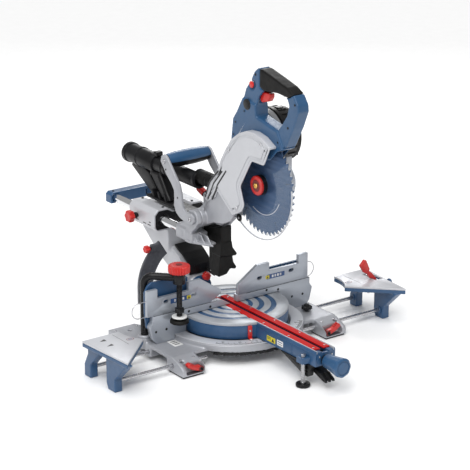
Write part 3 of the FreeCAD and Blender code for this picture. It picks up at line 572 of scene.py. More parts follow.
LOCK_BLADE = [
    (162, 11), (166, 7.5), (176, 10), (188, 14.5), (198, 21), (199, 26), (194, 29.5), (186, 24), (176, 20),
    (168, 19.5), (162, 16)]
for side, name in ((-1, "left"), (1, "right")):
    lever = [
        slab("blade", rounded([(side * x, z) for x, z in LOCK_BLADE], 2.5), "XZ", -119, -106.5, "red", 2.2),
        lathe(
            "boss", [(0, -120), (5.2, -120), (6.2, -119), (6.2, -107), (5.2, -106.2), (0, -106.2)], "Y",
            (side * 166, 0, 13), "red_dark"),
        screw("pin", (side * 166, -120, 13), "Y", 3.4, "black_metal", up=-1),
    ]
    for k in range(3):
        ridge = [
            (side * (x + 4 * k), z + 2.2 * k) for x, z in ((183, 23.8), (185, 24.8), (185, 26), (183, 25))]
        lever.append(slab("grip", ridge, "XZ", -117.5, -108, "red", 0.3))
    together(f"lock_lever_{name}_shape", lever, f"{name}_lock", [f"lock_lever_{name}"])

knob = [lathe(
    "grip", [
        (0, 35.4), (5, 35.4), (5, 40), (11.6, 40.6), (12, 42), (12, 46), (10.5, 47.4), (6.6, 48),
        (5.8, 50.8), (0, 51)], "Z", (174, -31, 0), "black", 72, (9, 1.6, 9))]
together("adjuster_knob_shape", knob, "adjuster", ["adjuster_knob"])

# ---- fences

kept("fixed_fences", "milled", 0.8)
kept("fence_screws", "steel", 0.4)
for side in ("left", "right"):
    kept(f"{side}_fence", "milled", 0.7)
    kept(f"{side}_fence_wire", "steel", 0)
    recast(f"{side}_fence_carrier", f"{side}_fence_back", "blue", f"{side}_fence_slide", 1.2, 4, 0.25)

# The dots are dark discs that paint the shade in the fence's screw holes. The seams are dark strips that
# paint the shade in the gap between the fixed fence and the sliding fence above it.
dots = [
    lathe("dot", [(0, -0.25), (2.2, -0.25), (2.9, -0.05), (2.9, 0.2)], "Y", (x, 0, z), "dark", segments=20)
    for x, z in ((88, 93), (119, 88), (186, 63), (157, 63), (-198, 62), (-172, 63), (-115, 90), (-60, 88))]
dots += [slab("seam", box(s * 34, 97.2, s * 204, 98.0), "XZ", -0.05, 0.3, "dark", 0.04) for s in (1, -1)]
together("fence_dots", dots, "base")

for name, x0, s in (("left", -137, -1), ("right", 112, 1)):
    tag = [
        slab("band", rounded(box(x0 - 24, 117, x0 + 24, 127.5), 1.5), "XZ", -0.3, 0.1, "label_blue", 0.1),
        slab(
            "sign", rounded(box(x0 - 22 * s - 5, 118.6, x0 - 22 * s + 5, 126), 0.8), "XZ", -0.4, 0,
            "yellow", 0.08),
        slab(
            "cone", [(x0 - 22 * s - 2.6, 119.8), (x0 - 22 * s + 2.6, 119.8), (x0 - 22 * s, 124.6)], "XZ",
            -0.5, 0, "ink_and_vent_shade", 0.05),
    ]
    for k in range(4):
        u = x0 - 8 * s + k * 7 * s
        tag.append(slab(
            "icon", rounded(box(u - 2.2, 119.5, u + 2.2, 125.2), 0.9), "XZ", -0.42, 0,
            "cover" if k % 2 else "white", 0.06))
    for x in ((69, 154) if s > 0 else (-172, -102)):
        tag.append(slab(
            "rim", oval(x, 125, 8.2, 5.2), "XZ", -0.25, 0.4, "milled", 0.12,
            holes=[oval(x, 125, 6.8, 3.8)]))
    together(f"{name}_fence_tag", tag, f"{name}_fence_slide")

# ---- side supports

for side, name, out in ((-1, "left", 7.8), (1, "right", 0.0)):
    recast(f"{name}_support_frame", f"{name}_support_shape", "blue", f"{name}_support", 1.4, 3, 0.25)
    kept(f"{name}_support_table", "cover", 0.7)
    kept(f"{name}_support_rods", "steel", 0.4)
    more = []

    def at(x):
        """The place of x on this side, where the left support stands further out."""
        return side * (x + out)

    for y0, y1, z1 in ((-88, -78, 56), (6.5, 14, 44)):
        more.append(slab("rib", box(y0, 12, y1, z1), "YZ", *sorted((at(336.2), at(338.3))), "blue", 0.8))
    for y in (-82, 10):
        more.append(lathe(
            "eye", [(4.1, 0), (7.5, 0), (8.2, -side * 1.2), (8.2, -side * 4), (4.1, -side * 4)], "X",
            (at(338.2), y, 18), "blue", closed=True, segments=40))
    more.append(slab("line", box(at(298), -1, at(298.9), -64), "XY", 81.95, 82.1, "ink_and_vent_shade", 0.04))
    more.append(slab(
        "ring", oval(at(281), -42, 8.5, 5), "XY", 81.95, 82.12, "red_dark", 0.05,
        holes=[oval(at(281), -42, 7.2, 3.7)]))
    more.append(slab("dash", oval(at(281), -42, 4.5, 1.1), "XY", 81.95, 82.12, "label_blue", 0.04))
    if side < 0:
        for pts in (
                ((-348, -19), (-333, -12), (-333.5, -23)), ((-349, -49), (-334, -41.5), (-333.6, -51.6))):
            more.append(slab("arrow", pts, "XY", 81.95, 82.1, "ink_and_vent_shade", 0.04))
    for x, y in ((300, -88), (344, -12), (344, -130)):
        if side < 0 or y > -100:
            more.append(screw("screw", (at(x), y, 69.2), "Z", 3.2, up=-1))
    together(f"{name}_support_details", more, f"{name}_support")

# ---- work clamp

kept("clamp_tube", "black_metal", 0.4)
thread = [(6.0, 94.5)]
for k in range(46):
    thread += [(6.0, 100 + 1.9 * k), (5.4, 100.5 + 1.9 * k), (5.4, 101.2 + 1.9 * k), (6.0, 101.7 + 1.9 * k)]
thread += [(6.0, 189), (0, 189)]
spindle = [
    lathe("thread", [(0, 94.5)] + thread, "Z", CLAMP_AXIS, "black_metal", 40),
    lathe(
        "nut", [(6.2, 104), (10, 104), (11, 105), (11, 112), (10, 113), (6.2, 113)], "Z", CLAMP_AXIS,
        "black_metal", 6, closed=True, angle=20),
]
together("clamp_spindle_shape", spindle, "clamp_screw", ["clamp_spindle"])
pad = [
    lathe(
        "cup", [(0, 81), (19, 81), (20.2, 82.2), (20.2, 86.5), (18.6, 88.4), (12, 89.2), (12, 93), (0, 93)],
        "Z", CLAMP_AXIS, "rubber", 72),
    lathe(
        "washer", [(6.2, 93.1), (15.8, 93.1), (16.2, 93.6), (16.2, 95.2), (15.6, 95.8), (6.2, 95.8)], "Z",
        CLAMP_AXIS, "white", 56, closed=True),
]
together("clamp_pad_shape", pad, "clamp_screw", ["clamp_pad"])
knob = [
    lathe(
        "grip", [
            (6.4, 191.1), (19, 191.1), (21, 191.8), (22.6, 193.4), (23, 195), (23, 205.6), (22.4, 207.4),
            (20.4, 208.6), (16, 209), (0, 209.2)], "Z", CLAMP_AXIS, "red", 192, (22, 2.6, 18.5)),
    lathe(
        "boss", [(0, 209), (6.5, 209), (7, 209.4), (6.4, 210), (0, 210.2)], "Z", CLAMP_AXIS, "red_dark",
        40),
]
together("clamp_knob_shape", knob, "clamp_screw", ["clamp_knob"])

# ---- turntable

kept("turntable_plate", "table", 0.5)
kept("turntable_body", "blue", 0.8)
kept("kerf_inserts", "red_insert", 0.3)
kept("pivot_bolts", "steel", 0.6)
kept("foot_bracket", "black_metal", 1.0)

HALF_OPENING = 23.2
for k, (r_in, r_out) in enumerate(((80.7, 91.8), (55.2, 65.8), (32.2, 41.8))):
    rings = []
    for side in (1, -1):
        a_in = math.degrees(math.asin(HALF_OPENING / r_in))
        a_out = math.degrees(math.asin(HALF_OPENING / r_out))
        mid = 0 if side > 0 else 180
        outline = arc(0, 0, r_out, mid - 90 + a_out, mid + 90 - a_out, 60)
        outline += arc(0, 0, r_in, mid + 90 - a_in, mid - 90 + a_in, 60)
        rings.append(slab("band", outline, "XY", 80.3, 81.1, "blue", 0.25))
    together(f"table_groove{k}", rings, "turntable")

bits = []
for side in (1, -1):
    for y in (-296, -214, -128, -42, 40):
        bits.append(lathe(
            "screw", [(0, 82.1), (2.0, 82.1), (2.3, 81.9), (2.3, 81.5)], "Z", (side * 14.2, y, 0), "steel",
            20))
        # Each slot is a dark strip that paints the shade in the screw head's slot.
        bits.append(slab(
            "slot", box(side * 14.2 - 1.5, y - 0.25, side * 14.2 + 1.5, y + 0.25), "XY", 82.05, 82.14,
            "dark", 0.02))
# The rungs are dark bars down in the kerf slot under the inserts, painting the shade in the slot.
for k in range(13):
    y = -298 + 26 * k
    bits.append(slab("rung", box(-9, y, 9, y + 2.4), "XY", 60, 73, "dark", 0.4))
for y in (-262, -205, -150):
    bits.append(screw("hub", (0, y, 57), "Z", 4.0, "steel"))
together("kerf_details", bits, "turntable")

arm = [
    slab("tag", rounded(box(-183, 54.5, -154, 66), 1), "YZ", -25.45, -24.8, "yellow", 0.15),
    slab("tag", rounded(box(-209.5, 55.5, -189, 67.5), 1), "YZ", -25.45, -24.8, "white", 0.15),
    slab("sign", [(-180, 56.3), (-170.5, 56.3), (-175.2, 64.4)], "YZ", -25.6, -25.3, "ink_and_vent_shade", 0.05),
]
for y, z, long, high, mat in (
        (-168, 62.6, 12, 1.4, "ink_and_vent_shade"), (-168, 59.6, 12, 1.2, "ink_and_vent_shade"), (-207, 63.2, 15, 1.8, "label_blue"),
        (-207, 58.6, 15, 1.2, "ink_and_vent_shade")):
    arm.append(slab("line", box(y, z, y + long, z + high), "YZ", -25.55, -25.3, mat, 0.05))
for side in (1, -1):
    arm.append(slab(
        "lip", box(-316, 74.6, -121, 76), "YZ", *sorted((side * 24.8, side * 25.7)), "blue", 0.4))
    for y in (-300, -240, -150):
        arm.append(slab(
            "fin", box(y, 50.4, y + 2.4, 73), "YZ", *sorted((side * 24.6, side * 25.7)), "blue", 0.4))
arm.append(slab(
    "front", rounded(box(-20, 51, 20, 73), 3), "XZ", -318.7, -317.6, "blue", 0.4,
    holes=[circle(0, 60, 7, 24)]))
for x in (-15.5, 15.5):
    arm.append(screw("bolt", (x, -318.6, 69), "Y", 2.2, up=-1))
together("arm_details", arm, "turntable")

tip = [
    slab("bracket", rounded(box(-4.3, -118.2, 4.3, -122.6), 0.8), "XY", 51.5, 76, "red", 0.7),
    slab(
        "tongue", rounded([(-4, -118.6), (4, -118.6), (3.4, -129.5), (-3.4, -129.5)], 0.5), "XY", 48.4,
        51.2, "red", 0.5),
    slab(
        "point", [(-2.8, -128.9), (2.8, -128.9), (0.4, -136), (-0.4, -136)], "XY", 48.6, 50.4, "white",
        0.2),
    screw("screw", (0, -122.8, 66), "Y", 2.4, up=-1),
]
for o in tip:
    turned_by(o, "Z", -19)
together("pointer_shape", tip, "turntable", ["mitre_pointer"])

lever = [
    slab(
        "plate", rounded([
            (-258, 41.5), (-268, 45.5), (-291, 40.5), (-316, 31), (-331, 20), (-328, 16.5), (-305, 24),
            (-281, 33), (-264, 38)], 2), "YZ", -12, 12, "black", 1.5),
    lathe("eye", box(0, -12.5, 4.2, 12.5), "X", (0, -266, 42), "red_dark"),
    lathe("axle", box(0, -19.5, 2.45, 14.5), "X", (0, -266, 42), "steel"),
]
for x in (-9.5, 0, 9.5):
    lever.append(slab(
        "prong",
        rounded([(-300, 29.5), (-318, 31.8), (-335, 21), (-336, 16.8), (-331, 15.8), (-318, 22)], 1.5),
        "YZ", x - 2.2, x + 2.2, "black", 0.9))
together("detent_lever_shape", lever, "paddle", ["detent_lever"])

knob = [
    lathe(
        "cone", [
            (0, -324.6), (13.8, -324.6), (14.8, -326), (16.0, -340), (20.2, -366), (21, -370),
            (20.6, -374.2), (18, -376.2), (15.6, -376.4), (15, -374.8), (0, -374.8)], "Y", MITRE_KNOB,
        "blue_plastic", 96, (8, 0.9, 14.8)),
    lathe(
        "collar", [(5.6, -320.2), (12.4, -320.2), (13.2, -321), (13.2, -324.4), (5.6, -324.4)], "Y",
        MITRE_KNOB, "black", closed=True),
    lathe("shank", box(0, -312.5, 4.9, -321), "Y", MITRE_KNOB, "steel"),
    lathe(
        "cap", [(0, -374.6), (13.6, -374.6), (13.2, -375.6), (11, -376), (0, -376.1)], "Y", MITRE_KNOB,
        "blue_plastic"),
]
together("mitre_lock_knob_shape", knob, "mitre_lock", ["mitre_lock_knob"])

thread = [(0, 8.5), (4.6, 8.5)]
for k in range(30):
    z = 9 + 2 * k
    thread += [(4.9, z), (4.4, z + 0.7), (4.4, z + 1.2), (4.9, z + 1.9)]
thread.append((0, 69))
foot = [
    lathe("screw", thread, "Z", FOOT_AXIS, "steel", 32),
    lathe(
        "pad", [
            (0, 0.1), (13.4, 0.1), (14.8, 1.2), (15, 2.4), (15, 6.2), (14.2, 7.2), (8, 7.8), (7.2, 8.8),
            (0, 8.8)], "Z", FOOT_AXIS, "black", 96, (24, 0.7, 13.5)),
]
together("front_foot_shape", foot, "foot", ["front_foot"])

# ---- bevel parts

kept("bevel_sector", "cast_dark", 0.8)
sector_slot = lathe(
    "slot", box(76.4, 186.2, 150, 197.8), "Y", (0, 0, TABLE_Z), "cover", segments=96, closed=True)
recast("bevel_neck", "neck_shape", "cover", "tilt", 1.6, 5, 0.35, [sector_slot])
kept("rail_bushings", "brass", 0.4)
skin = []
for x in (-RAIL_X, RAIL_X):
    skin.append(lathe(
        "mouth", [(10.4, 199.0), (15.5, 199.0), (17, 199.8), (17, 200.6), (10.4, 200.6)], "Y",
        (x, 0, RAIL_Z), "black", closed=True))
    skin.append(lathe(
        "seal", [(10.3, 300.4), (14.6, 300.4), (15.2, 301.2), (14.4, 302.4), (10.3, 302.4)], "Y",
        (x, 0, RAIL_Z), "black", closed=True))
skin.append(slab(
    "mouth", rounded([
        (-61, 203), (61, 203), (64.5, 210), (64.5, 236), (56, 245.5), (33, 245.5), (20, 238), (-20, 238),
        (-33, 245.5), (-56, 245.5), (-64.5, 236), (-64.5, 210)], 4), "XZ", 199.2, 200.4, "black", 0.3,
    holes=[circle(-RAIL_X, RAIL_Z, 14, 32), circle(RAIL_X, RAIL_Z, 14, 32)]))
# The slits are dark strips on the neck's side that paint the shade inside its vent slits.
for y, z, long in ((214, 211, 12), (232, 211, 12), (262, 212, 14), (214, 217.5, 7)):
    skin.append(slab("slit", rounded(box(y, z, y + long, z + 1.8), 0.8), "YZ", -68.4, -67.6, "dark", 0.15))
for x, y in ((-62, 210), (-62, 290), (62, 210), (62, 290)):
    skin.append(screw("screw", (x * 0.62, y, 248.8), "Z", 3.0, "black_metal"))
together("neck_details", skin, "tilt")

shroud = [slab(
    "shell", rounded([
        (129.4, 112), (131.6, 112), (132.2, 131), (143.4, 140), (159.8, 150.6), (187.4, 163.4),
        (187.4, 168.2), (184, 168.2), (157.6, 155), (141.4, 143.6), (129.4, 133)], 1.2), "YZ", -24, 34,
    "black", 0.6)]
for x in (-13, 3, 19):
    shroud.append(slab("rib", box(128.6, 114, 129.8, 132), "YZ", x, x + 3, "black", 0.3))
shroud += [
    rod("rod", [(22, 128, 118), (24, 116, 112), (28, 108, 108)], 2.4, "black"),
    lathe(
        "cap", [(0, 0), (6, 0), (9, 2), (9.6, 5), (9.6, 11), (8, 13.6), (0, 14)], "Y", (7, 103, 110), "red",
        60, (8, 1.5, 7)),
]
together("neck_shroud", shroud, "tilt")

knob = [
    star_knob("grip", (-88, 189.5, 169.4), 8.5, 13),
    lathe(
        "stub", [(0, -84.4), (3.4, -84.4), (4.6, -85.5), (5.4, -88.4), (0, -88.4)], "X", (0, 189.5, 169.4),
        "black"),
]
together("bevel_stop_shape", knob, "bevel_stop", ["bevel_stop_knob"])

knob = [
    star_knob("grip", (-78.5, 268, 222), 14, 15, bite=0.16),
    lathe(
        "stub", [(0, -62), (3.9, -62), (3.9, -69), (6.4, -69.5), (6.8, -78.8), (0, -78.8)], "X",
        (0, 268, 222), "black"),
]
together("slide_lock_shape", knob, "slide_lock", ["slide_lock_knob"])

# ---- slide carriage

kept("slide_rails", "chrome", 0.5)
recast("rear_bridge", "bridge_shape", "blue", "carriage", 1.2, 14, 0.3)
recast("front_bracket", "bracket_shape", "cast", "carriage", 1.3, 5, 0.35)
kept("head_pivot_pin", "steel", 0.5)
ends = []
for x in (-RAIL_X, RAIL_X):
    ends.append(lathe(
        "cap", [(0, 411.6), (7.5, 411.6), (9, 412.2), (9.2, 413.2), (8, 413.9), (0, 413.9)], "Y",
        (x, 0, RAIL_Z), "black"))
    ends.append(lathe(
        "ring", [(10.2, 127.6), (12.6, 127.6), (13.2, 128.4), (12.6, 129.4), (10.2, 129.4)], "Y",
        (x, 0, RAIL_Z), "steel", closed=True))
    ends.append(screw("set", (x * 1.02, 400, 237.8), "Z", 2.6, "black_metal"))
for k in range(4):
    x = -30 + 20 * k
    ends.append(slab("rib", box(x - 1.2, 214, x + 1.2, 237), "XZ", 411.6, 412.9, "blue", 0.5))
ends.append(slab("pad", rounded(box(104, 216, 124, 230), 2), "YZ", -60.6, -59.8, "cast", 0.25))
ends.append(lathe(
    "cap", [(0, -58.4), (7.2, -58.4), (8.2, -57.6), (8.2, -57), (0, -57)], "X", (0, HINGE_Y, HINGE_Z),
    "steel"))
ends.append(screw("pivot", (-58.4, HINGE_Y, HINGE_Z), "X", 4.2, "steel", up=-1))
together("carriage_details", ends, "carriage")

boot = [
    slab(
        "top", [(92, 216), (92, 236), (60, 239), (46, 244), (24, 250), (24, 206), (58, 206)], "YZ", -13, 13,
        "rubber"),
    slab(
        "upper", rounded([
            (-13, 214), (13, 214), (15, 200), (27, 183), (23, 179), (0, 182), (-18, 184), (-15, 202)], 3),
        "XZ", 22, 60, "rubber", 1.5),
    slab(
        "lower", rounded([
            (-14, 196), (14, 196), (20, 164), (28, 152), (25, 147), (12, 151), (2, 140), (-20, 137),
            (-17, 164)], 3), "XZ", 26, 58, "rubber", 1.5),
    slab("back", [(-13, 214), (13, 214), (12, 142), (-12, 142)], "XZ", 54, 73, "rubber", 1.5),
]
hollow = slab("hollow", [(-12, 130), (14, 130), (12, 200), (-9, 200)], "XZ", 29.5, 54, "rubber", 0.5)
cast("skirt_shape", boot, "rubber", "carriage", 1.3, 7, 0.5, ["dust_skirt"], [hollow])

grip = [lathe(
    "bar", [
        (0, -57.1), (12.6, -57.1), (14.2, -55.4), (14.8, -50), (16.6, -34), (17.4, -8), (17.3, 12),
        (16, 34), (14.2, 47), (13, 49.6), (11, 50.1), (0, 50.1)], "X", (0, GRIP_Y, GRIP_Z), "black", 72)]
grip.append(lathe(
    "top", [
        (12.7, -56.9), (14.5, -55.2), (15.2, -50), (17.0, -34), (17.9, -8), (17.8, 12), (16.4, 34),
        (14.6, 47), (13.2, 49.5), (12, 49.5), (12, -56.9)], "X", (0, GRIP_Y, GRIP_Z), "blue_plastic", 40,
    sweep=(2, 186), closed=True))
together("carry_grip_shape", grip, "carriage", ["carry_handle"])
kept("carry_arms", "cast", 0.9)
pins = []
for y, z in ((GRIP_Y, GRIP_Z), (HINGE_Y, HINGE_Z)):
    pins.append(screw("bolt", (-63, y, z), "X", 4.6, "steel", up=-1))
    pins.append(screw("bolt", (55, y, z), "X", 4.6, "steel"))
# The rivets are small dark discs: they paint the shade in the rivet holes.
for y, z in ((160, 352), (116, 300)):
    pins.append(lathe("rivet", [(0, -63.7), (1.6, -63.7), (2.4, -63)], "X", (0, y, z), "dark", 16))
together("arm_bolts", pins, "carriage")

tube = [
    lathe(
        "duct", [
            (14.6, 112), (16.6, 112), (17, 112.6), (17, 206), (18.2, 207), (18.2, 214), (17, 215),
            (17, 268), (20.4, 269), (21, 270), (21, 330), (22.4, 331), (22.4, 337), (21, 338), (21, 372),
            (23, 373.4), (23, 383), (22.2, 384), (17.2, 384), (17.2, 291), (14.6, 290)], "Y", DUCT_AXIS,
        "black", 72, closed=True),
    slab(
        "web", rounded([(258, 257), (288, 257), (370, 303), (364, 311), (330, 313), (300, 303)], 4), "YZ",
        -16, -4, "black", 2.5),
    slab(
        "web", rounded([(205, 257), (235, 257), (288, 304), (280, 316), (248, 316)], 4), "YZ", -24, 4,
        "black", 8, steps=4),
    slab("web", [(235, 256), (258, 256), (300, 304), (286, 306)], "YZ", -12, -8, "black", 0.8),
    slab(
        "tongue",
        rounded([(104, 241.2), (126, 241.2), (130, 251), (292, 251), (292, 257), (104, 257)], 2.5), "YZ",
        -28, 8, "black", 1.6),
]
tube.append(slab("clip", rounded(box(DUCT_X - 9, 262, DUCT_X + 9, 276), 3), "XY", 346, 357, "black", 2.0))
tube.append(lathe(
    "boot", [
        (0, 57.8), (12, 58), (15, 59), (16, 61), (16, 66), (14.6, 68.4), (14.6, 70), (16, 72.4), (16, 77),
        (14.6, 79.4), (14.6, 81), (16, 83.4), (16, 118), (14, 121), (0, 121)], "Y",
    (DUCT_X + 5, 0, DUCT_Z + 9), "rubber", 64))
tube.append(lathe(
    "cuff", [(14, 108), (18.4, 109), (19, 110.4), (19, 117), (18.4, 118.4), (14, 119)], "Y",
    (DUCT_X + 1, 0, DUCT_Z + 2), "black", 64, closed=True))
for y in (222, 236):
    tube.append(lathe(
        "ring", [(16.8, y), (18.4, y + 0.8), (18.4, y + 3.2), (16.8, y + 4)], "Y", DUCT_AXIS, "black", 64,
        closed=True))
for k in range(3):
    y = 214 + 24 * k
    tube.append(slab(
        "brace", rounded([(y, 257), (y + 6, 257), (y + 14, 272), (y + 8, 272)], 1), "YZ", -26.5, 6.5,
        "black", 1.2))
together("dust_port_shape", tube, "carriage", ["dust_port"])

knob = [
    lathe(
        "grip", [(0, 70.2), (7.4, 70.2), (8.2, 71.2), (8.3, 90), (7.6, 93.4), (5.6, 95.6), (0, 96)], "Z",
        PIN_AT, "red", 72, (12, 0.8, 7.6)),
    lathe("collar", [(0, 62), (6.2, 62), (6.8, 63), (6.8, 69), (7.6, 70), (0, 70.2)], "Z", PIN_AT, "black"),
    lathe("rod", box(0, 21.6, 3.9, 64), "Z", PIN_AT, "steel"),
]
for o in knob:
    turned_by(o, "X", -70, PIN_AT)
together("transport_pin_shape", knob, "pin", ["transport_pin"])

# ---- saw head

recast("head_casting", "head_shape", "cast", "head", 1.4, 5, 0.35)

COVER = [
    (-1, 408), (-20, 437), (-38, 461), (-66, 481), (-91, 491), (-116, 493), (-143, 488), (-172, 474),
    (-151, 432), (-110, 432), (-70, 368), (-84, 330), (-74, 314), (-43, 298), (12, 338), (18, 322),
    (50, 304), (58, 312), (46, 340), (39, 353), (8, 385)]
CORNERS = [14, 10, 10, 14, 16, 16, 14, 6, 9, 12, 12, 10, 10, 8, 6, 5, 5, 5, 8, 8, 16]
skin = rounded(COVER, CORNERS)
plates = [slab("face", skin, "YZ", -34.2, -31.0, "cover", 1.3, steps=3)]
plates.append(slab("line", inset(skin, 5.0), "YZ", -34.9, -34.0, "cover", 0.35, holes=[inset(skin, 6.6)]))
plates.append(slab("panel", inset(skin, 13), "YZ", -35.4, -34.0, "cover", 0.6, steps=3))
wall = COVER[:8] + [
    (-170, 470), (-142, 484.5), (-116, 489.5), (-92, 487.5), (-68, 478), (-41, 458), (-23, 434),
    (-4, 405.5), (10, 346), (14, 342)]
plates.append(slab("wall", wall, "YZ", -32, -17, "cover", 0.8))
VENTS = (
    ((6, 384), (37, 353), (44, 340), (54, 315)), ((-8, 387), (23, 353), (30, 339), (45, 313)),
    ((-22, 391), (9, 353), (16, 338), (30, 316)))
# The vents are black strips that paint the shade inside the cover's vent slots.
for line in VENTS:
    outline = list(line) + [(y - 3.2, z - 2.0) for y, z in reversed(line)]
    plates.append(slab("vent", outline, "YZ", -35.9, -33.6, "ink_and_vent_shade", 0.3))
for y, z in ((-58, 318), (-142, 474), (-30, 436)):
    plates.append(lathe(
        "cup", [(5.2, -35.3), (4.2, -36.1), (3.4, -36.1), (3.2, -35.0), (0, -35.0)], "X", (0, y, z),
        "cover", 32))
    plates.append(screw("screw", (-35.2, y, z), "X", 2.6, "steel", up=-1, height=0.8))
together("side_cover_shape", plates, "head", ["side_cover"])

button_well = lathe("well", box(0, -20, 10.6, -4.5), "X", (0, -84, 584), "blue_plastic", 48)
recast("blue_housing", "housing_shape", "blue_plastic", "head", 1.2, 20, 0.35, [button_well])
recast("handle_grip", "grip_shape", "rubber", "head", 1.2, 26, 0.4)
details = []
for y, z, r in ((-31, 494, 2.6), (-24, 466, 2.6), (-62, 524, 2.2), (-176, 484, 2.6)):
    details.append(lathe(
        "cup", [(r + 1.4, -16.8), (r + 1.2, -17.6), (r, -17.7), (r * 0.9, -16.4), (0, -16.4)], "X",
        (0, y, z), "blue_plastic", 28))
    details.append(screw("screw", (-17.0, y, z), "X", r * 0.8, "black_metal", up=-1, height=0.7))
for y, z in ((-96, 607), (-227, 572), (-205, 520)):
    details.append(screw("screw", (-14.0, y, z), "X", 2.6, "black_metal", up=-1, height=0.9))
details.append(slab("cap", oval(-71, 540, 12, 11.5), "YZ", -18.2, -16, "black", 1.0))
details.append(slab("cap", oval(-71, 540, 8, 7.5), "YZ", -18.8, -17.8, "black", 0.4))
for y, z in ((-70, 581), (-77, 592), (-85, 603)):
    details.append(lathe(
        "rib", [(0, -8.5), (3.4, -7.6), (3.8, -6), (3.8, 6), (3.4, 7.6), (0, 8.5)], "X", (0, y - 1, z - 1),
        "blue_plastic", 24))
for k in range(6):
    y, z = -134 - 9.5 * k, 615.4 - 2.4 * k
    details.append(slab(
        "rib", rounded([(y, z - 3), (y + 4, z - 2), (y + 4, z + 0.6), (y, z - 0.6)], 0.8), "YZ", -10, 10,
        "rubber", 0.8))
together("housing_details", details, "head")

trigger = [slab(
    "blade", rounded([
        (-103.2, 562), (-101.4, 553.4), (-108, 550.2), (-128, 556), (-134, 565), (-134, 573.6),
        (-108, 573.6)], 3), "YZ", -6.8, 6.8, "red", 2.2)]
together("trigger_shape", trigger, "trigger_body", ["trigger"])
button = [lathe(
    "cap", [(0, -17), (5.6, -17), (6.8, -16.2), (7, -15.2), (7, -14.2), (3, -14), (3, -12.8), (0, -12.8)],
    "X", (0, -84, 584), "red", 40)]
together("lock_off_shape", button, "lock_off", ["lock_off_button"])

shell = [lathe(
    "can", [
        (0, 16.6), (30, 16.6), (30, 40), (57, 40), (59, 42), (59, 61.4), (61.5, 62), (61.5, 70), (59, 70.8),
        (58.4, 74), (58.2, 93), (56, 96), (57, 100), (56.4, 104.4), (52, 108), (46, 110.6), (0, 111)], "X",
    MOTOR_AXIS, "black", 96)]
shell.append(lathe(
    "band", [(58, 44), (60.2, 44.6), (60.2, 58), (58, 58.6)], "X", MOTOR_AXIS, "grey", 96, closed=True))
for k in range(24):
    vent = box(MOTOR_Y + 34, MOTOR_Z - 1.7, MOTOR_Y + 48, MOTOR_Z + 1.7)
    fin = box(MOTOR_Y + 57.6, MOTOR_Z - 1.3, MOTOR_Y + 60, MOTOR_Z + 1.3)
    # The vents are dark strips on the motor's end that paint the shade inside its air vents.
    around = [
        slab("vent", rounded(vent, 1.4), "YZ", 109.2, 111.1, "dark", 0.3),
        slab("fin", fin, "YZ", 74, 95, "black", 0.6),
    ]
    shell += [turned_by(o, "X", 15 * k, MOTOR_AXIS) for o in around]
shell.append(lathe("badge", [(0, 111.4), (19, 111.4), (21, 111), (21, 110.4)], "X", MOTOR_AXIS, "grey", 48))
for a in (45, 135, 225, 315):
    y, z = MOTOR_Y + 53 * math.cos(math.radians(a)), MOTOR_Z + 53 * math.sin(math.radians(a))
    shell.append(screw("screw", (106.6, y, z), "X", 3.2, "black_metal"))
shell.append(lathe(
    "brush", [(0, 0), (8.6, 0), (9, 0.8), (9, 3.4), (8, 4.2), (0, 4.2)], "Z",
    (84, MOTOR_Y - 4, MOTOR_Z + 56), "black", 32))
together("motor_shape", shell, "head", ["motor"])

TEETH = 48
STEP = 360 / TEETH
TOOTH = (
    (0.0, 107.6), (0.16, 106.8), (0.34, 104.6), (0.52, 101.2), (0.66, 99.6), (0.80, 99.8), (0.90, 101.6),
    (0.96, 104.0))


def on_blade(points, angle):
    """Points given along and across a radius of the blade, at an angle in radians."""
    c, s = math.cos(angle), math.sin(angle)
    return [(BLADE_Y + r * c - w * s, BLADE_Z + r * s + w * c) for r, w in points]


outline = []
for k in range(TEETH):
    for share, r in TOOTH:
        outline += on_blade([(r, 0)], math.radians(360 * k / TEETH + share * STEP))
bore = circle(BLADE_Y, BLADE_Z, 10.02, 48)
disc = [slab("disc", outline, "YZ", -1.0, 1.0, "blade", 0.12, holes=[bore], steps=1)]
for k in range(TEETH):
    tip = on_blade(
        [(103.2, 0.1), (108, 0.1), (107.4, -1.9), (103.2, -1.5)], math.radians(360 * k / TEETH - 0.2))
    disc.append(slab("tip", tip, "YZ", -1.35, 1.35, "carbide", 0.12, steps=1))
# The slits and their end eyes are dark fills that paint the shade seen in the blade's expansion slots.
for k in range(5):
    angle = math.tau * (k + 0.3) / 5
    disc.append(slab(
        "slit", on_blade(box(84, 0.4, 99.4, -0.4), angle), "YZ", -1.06, 1.06, "dark", 0.02, steps=1))
    disc.append(lathe(
        "eye", box(0, -1.07, 1.6, 1.07), "X", (0, *on_blade([(84, 0)], angle)[0]), "dark", 16))
# Two thin light arcs on the blade's face are a painted sheen, standing in for the light the turned steel
# throws back.
for r, a0, a1 in ((64, 205, 300), (58, 60, 95)):
    outline = arc(BLADE_Y, BLADE_Z, r + 0.5, a0, a1, 40) + arc(BLADE_Y, BLADE_Z, r - 0.5, a1, a0, 40)
    disc.append(slab("sheen_arc", outline, "YZ", -1.09, -0.98, "white", 0.02, steps=1))
together("blade_shape", disc, "blade_body", ["blade"])

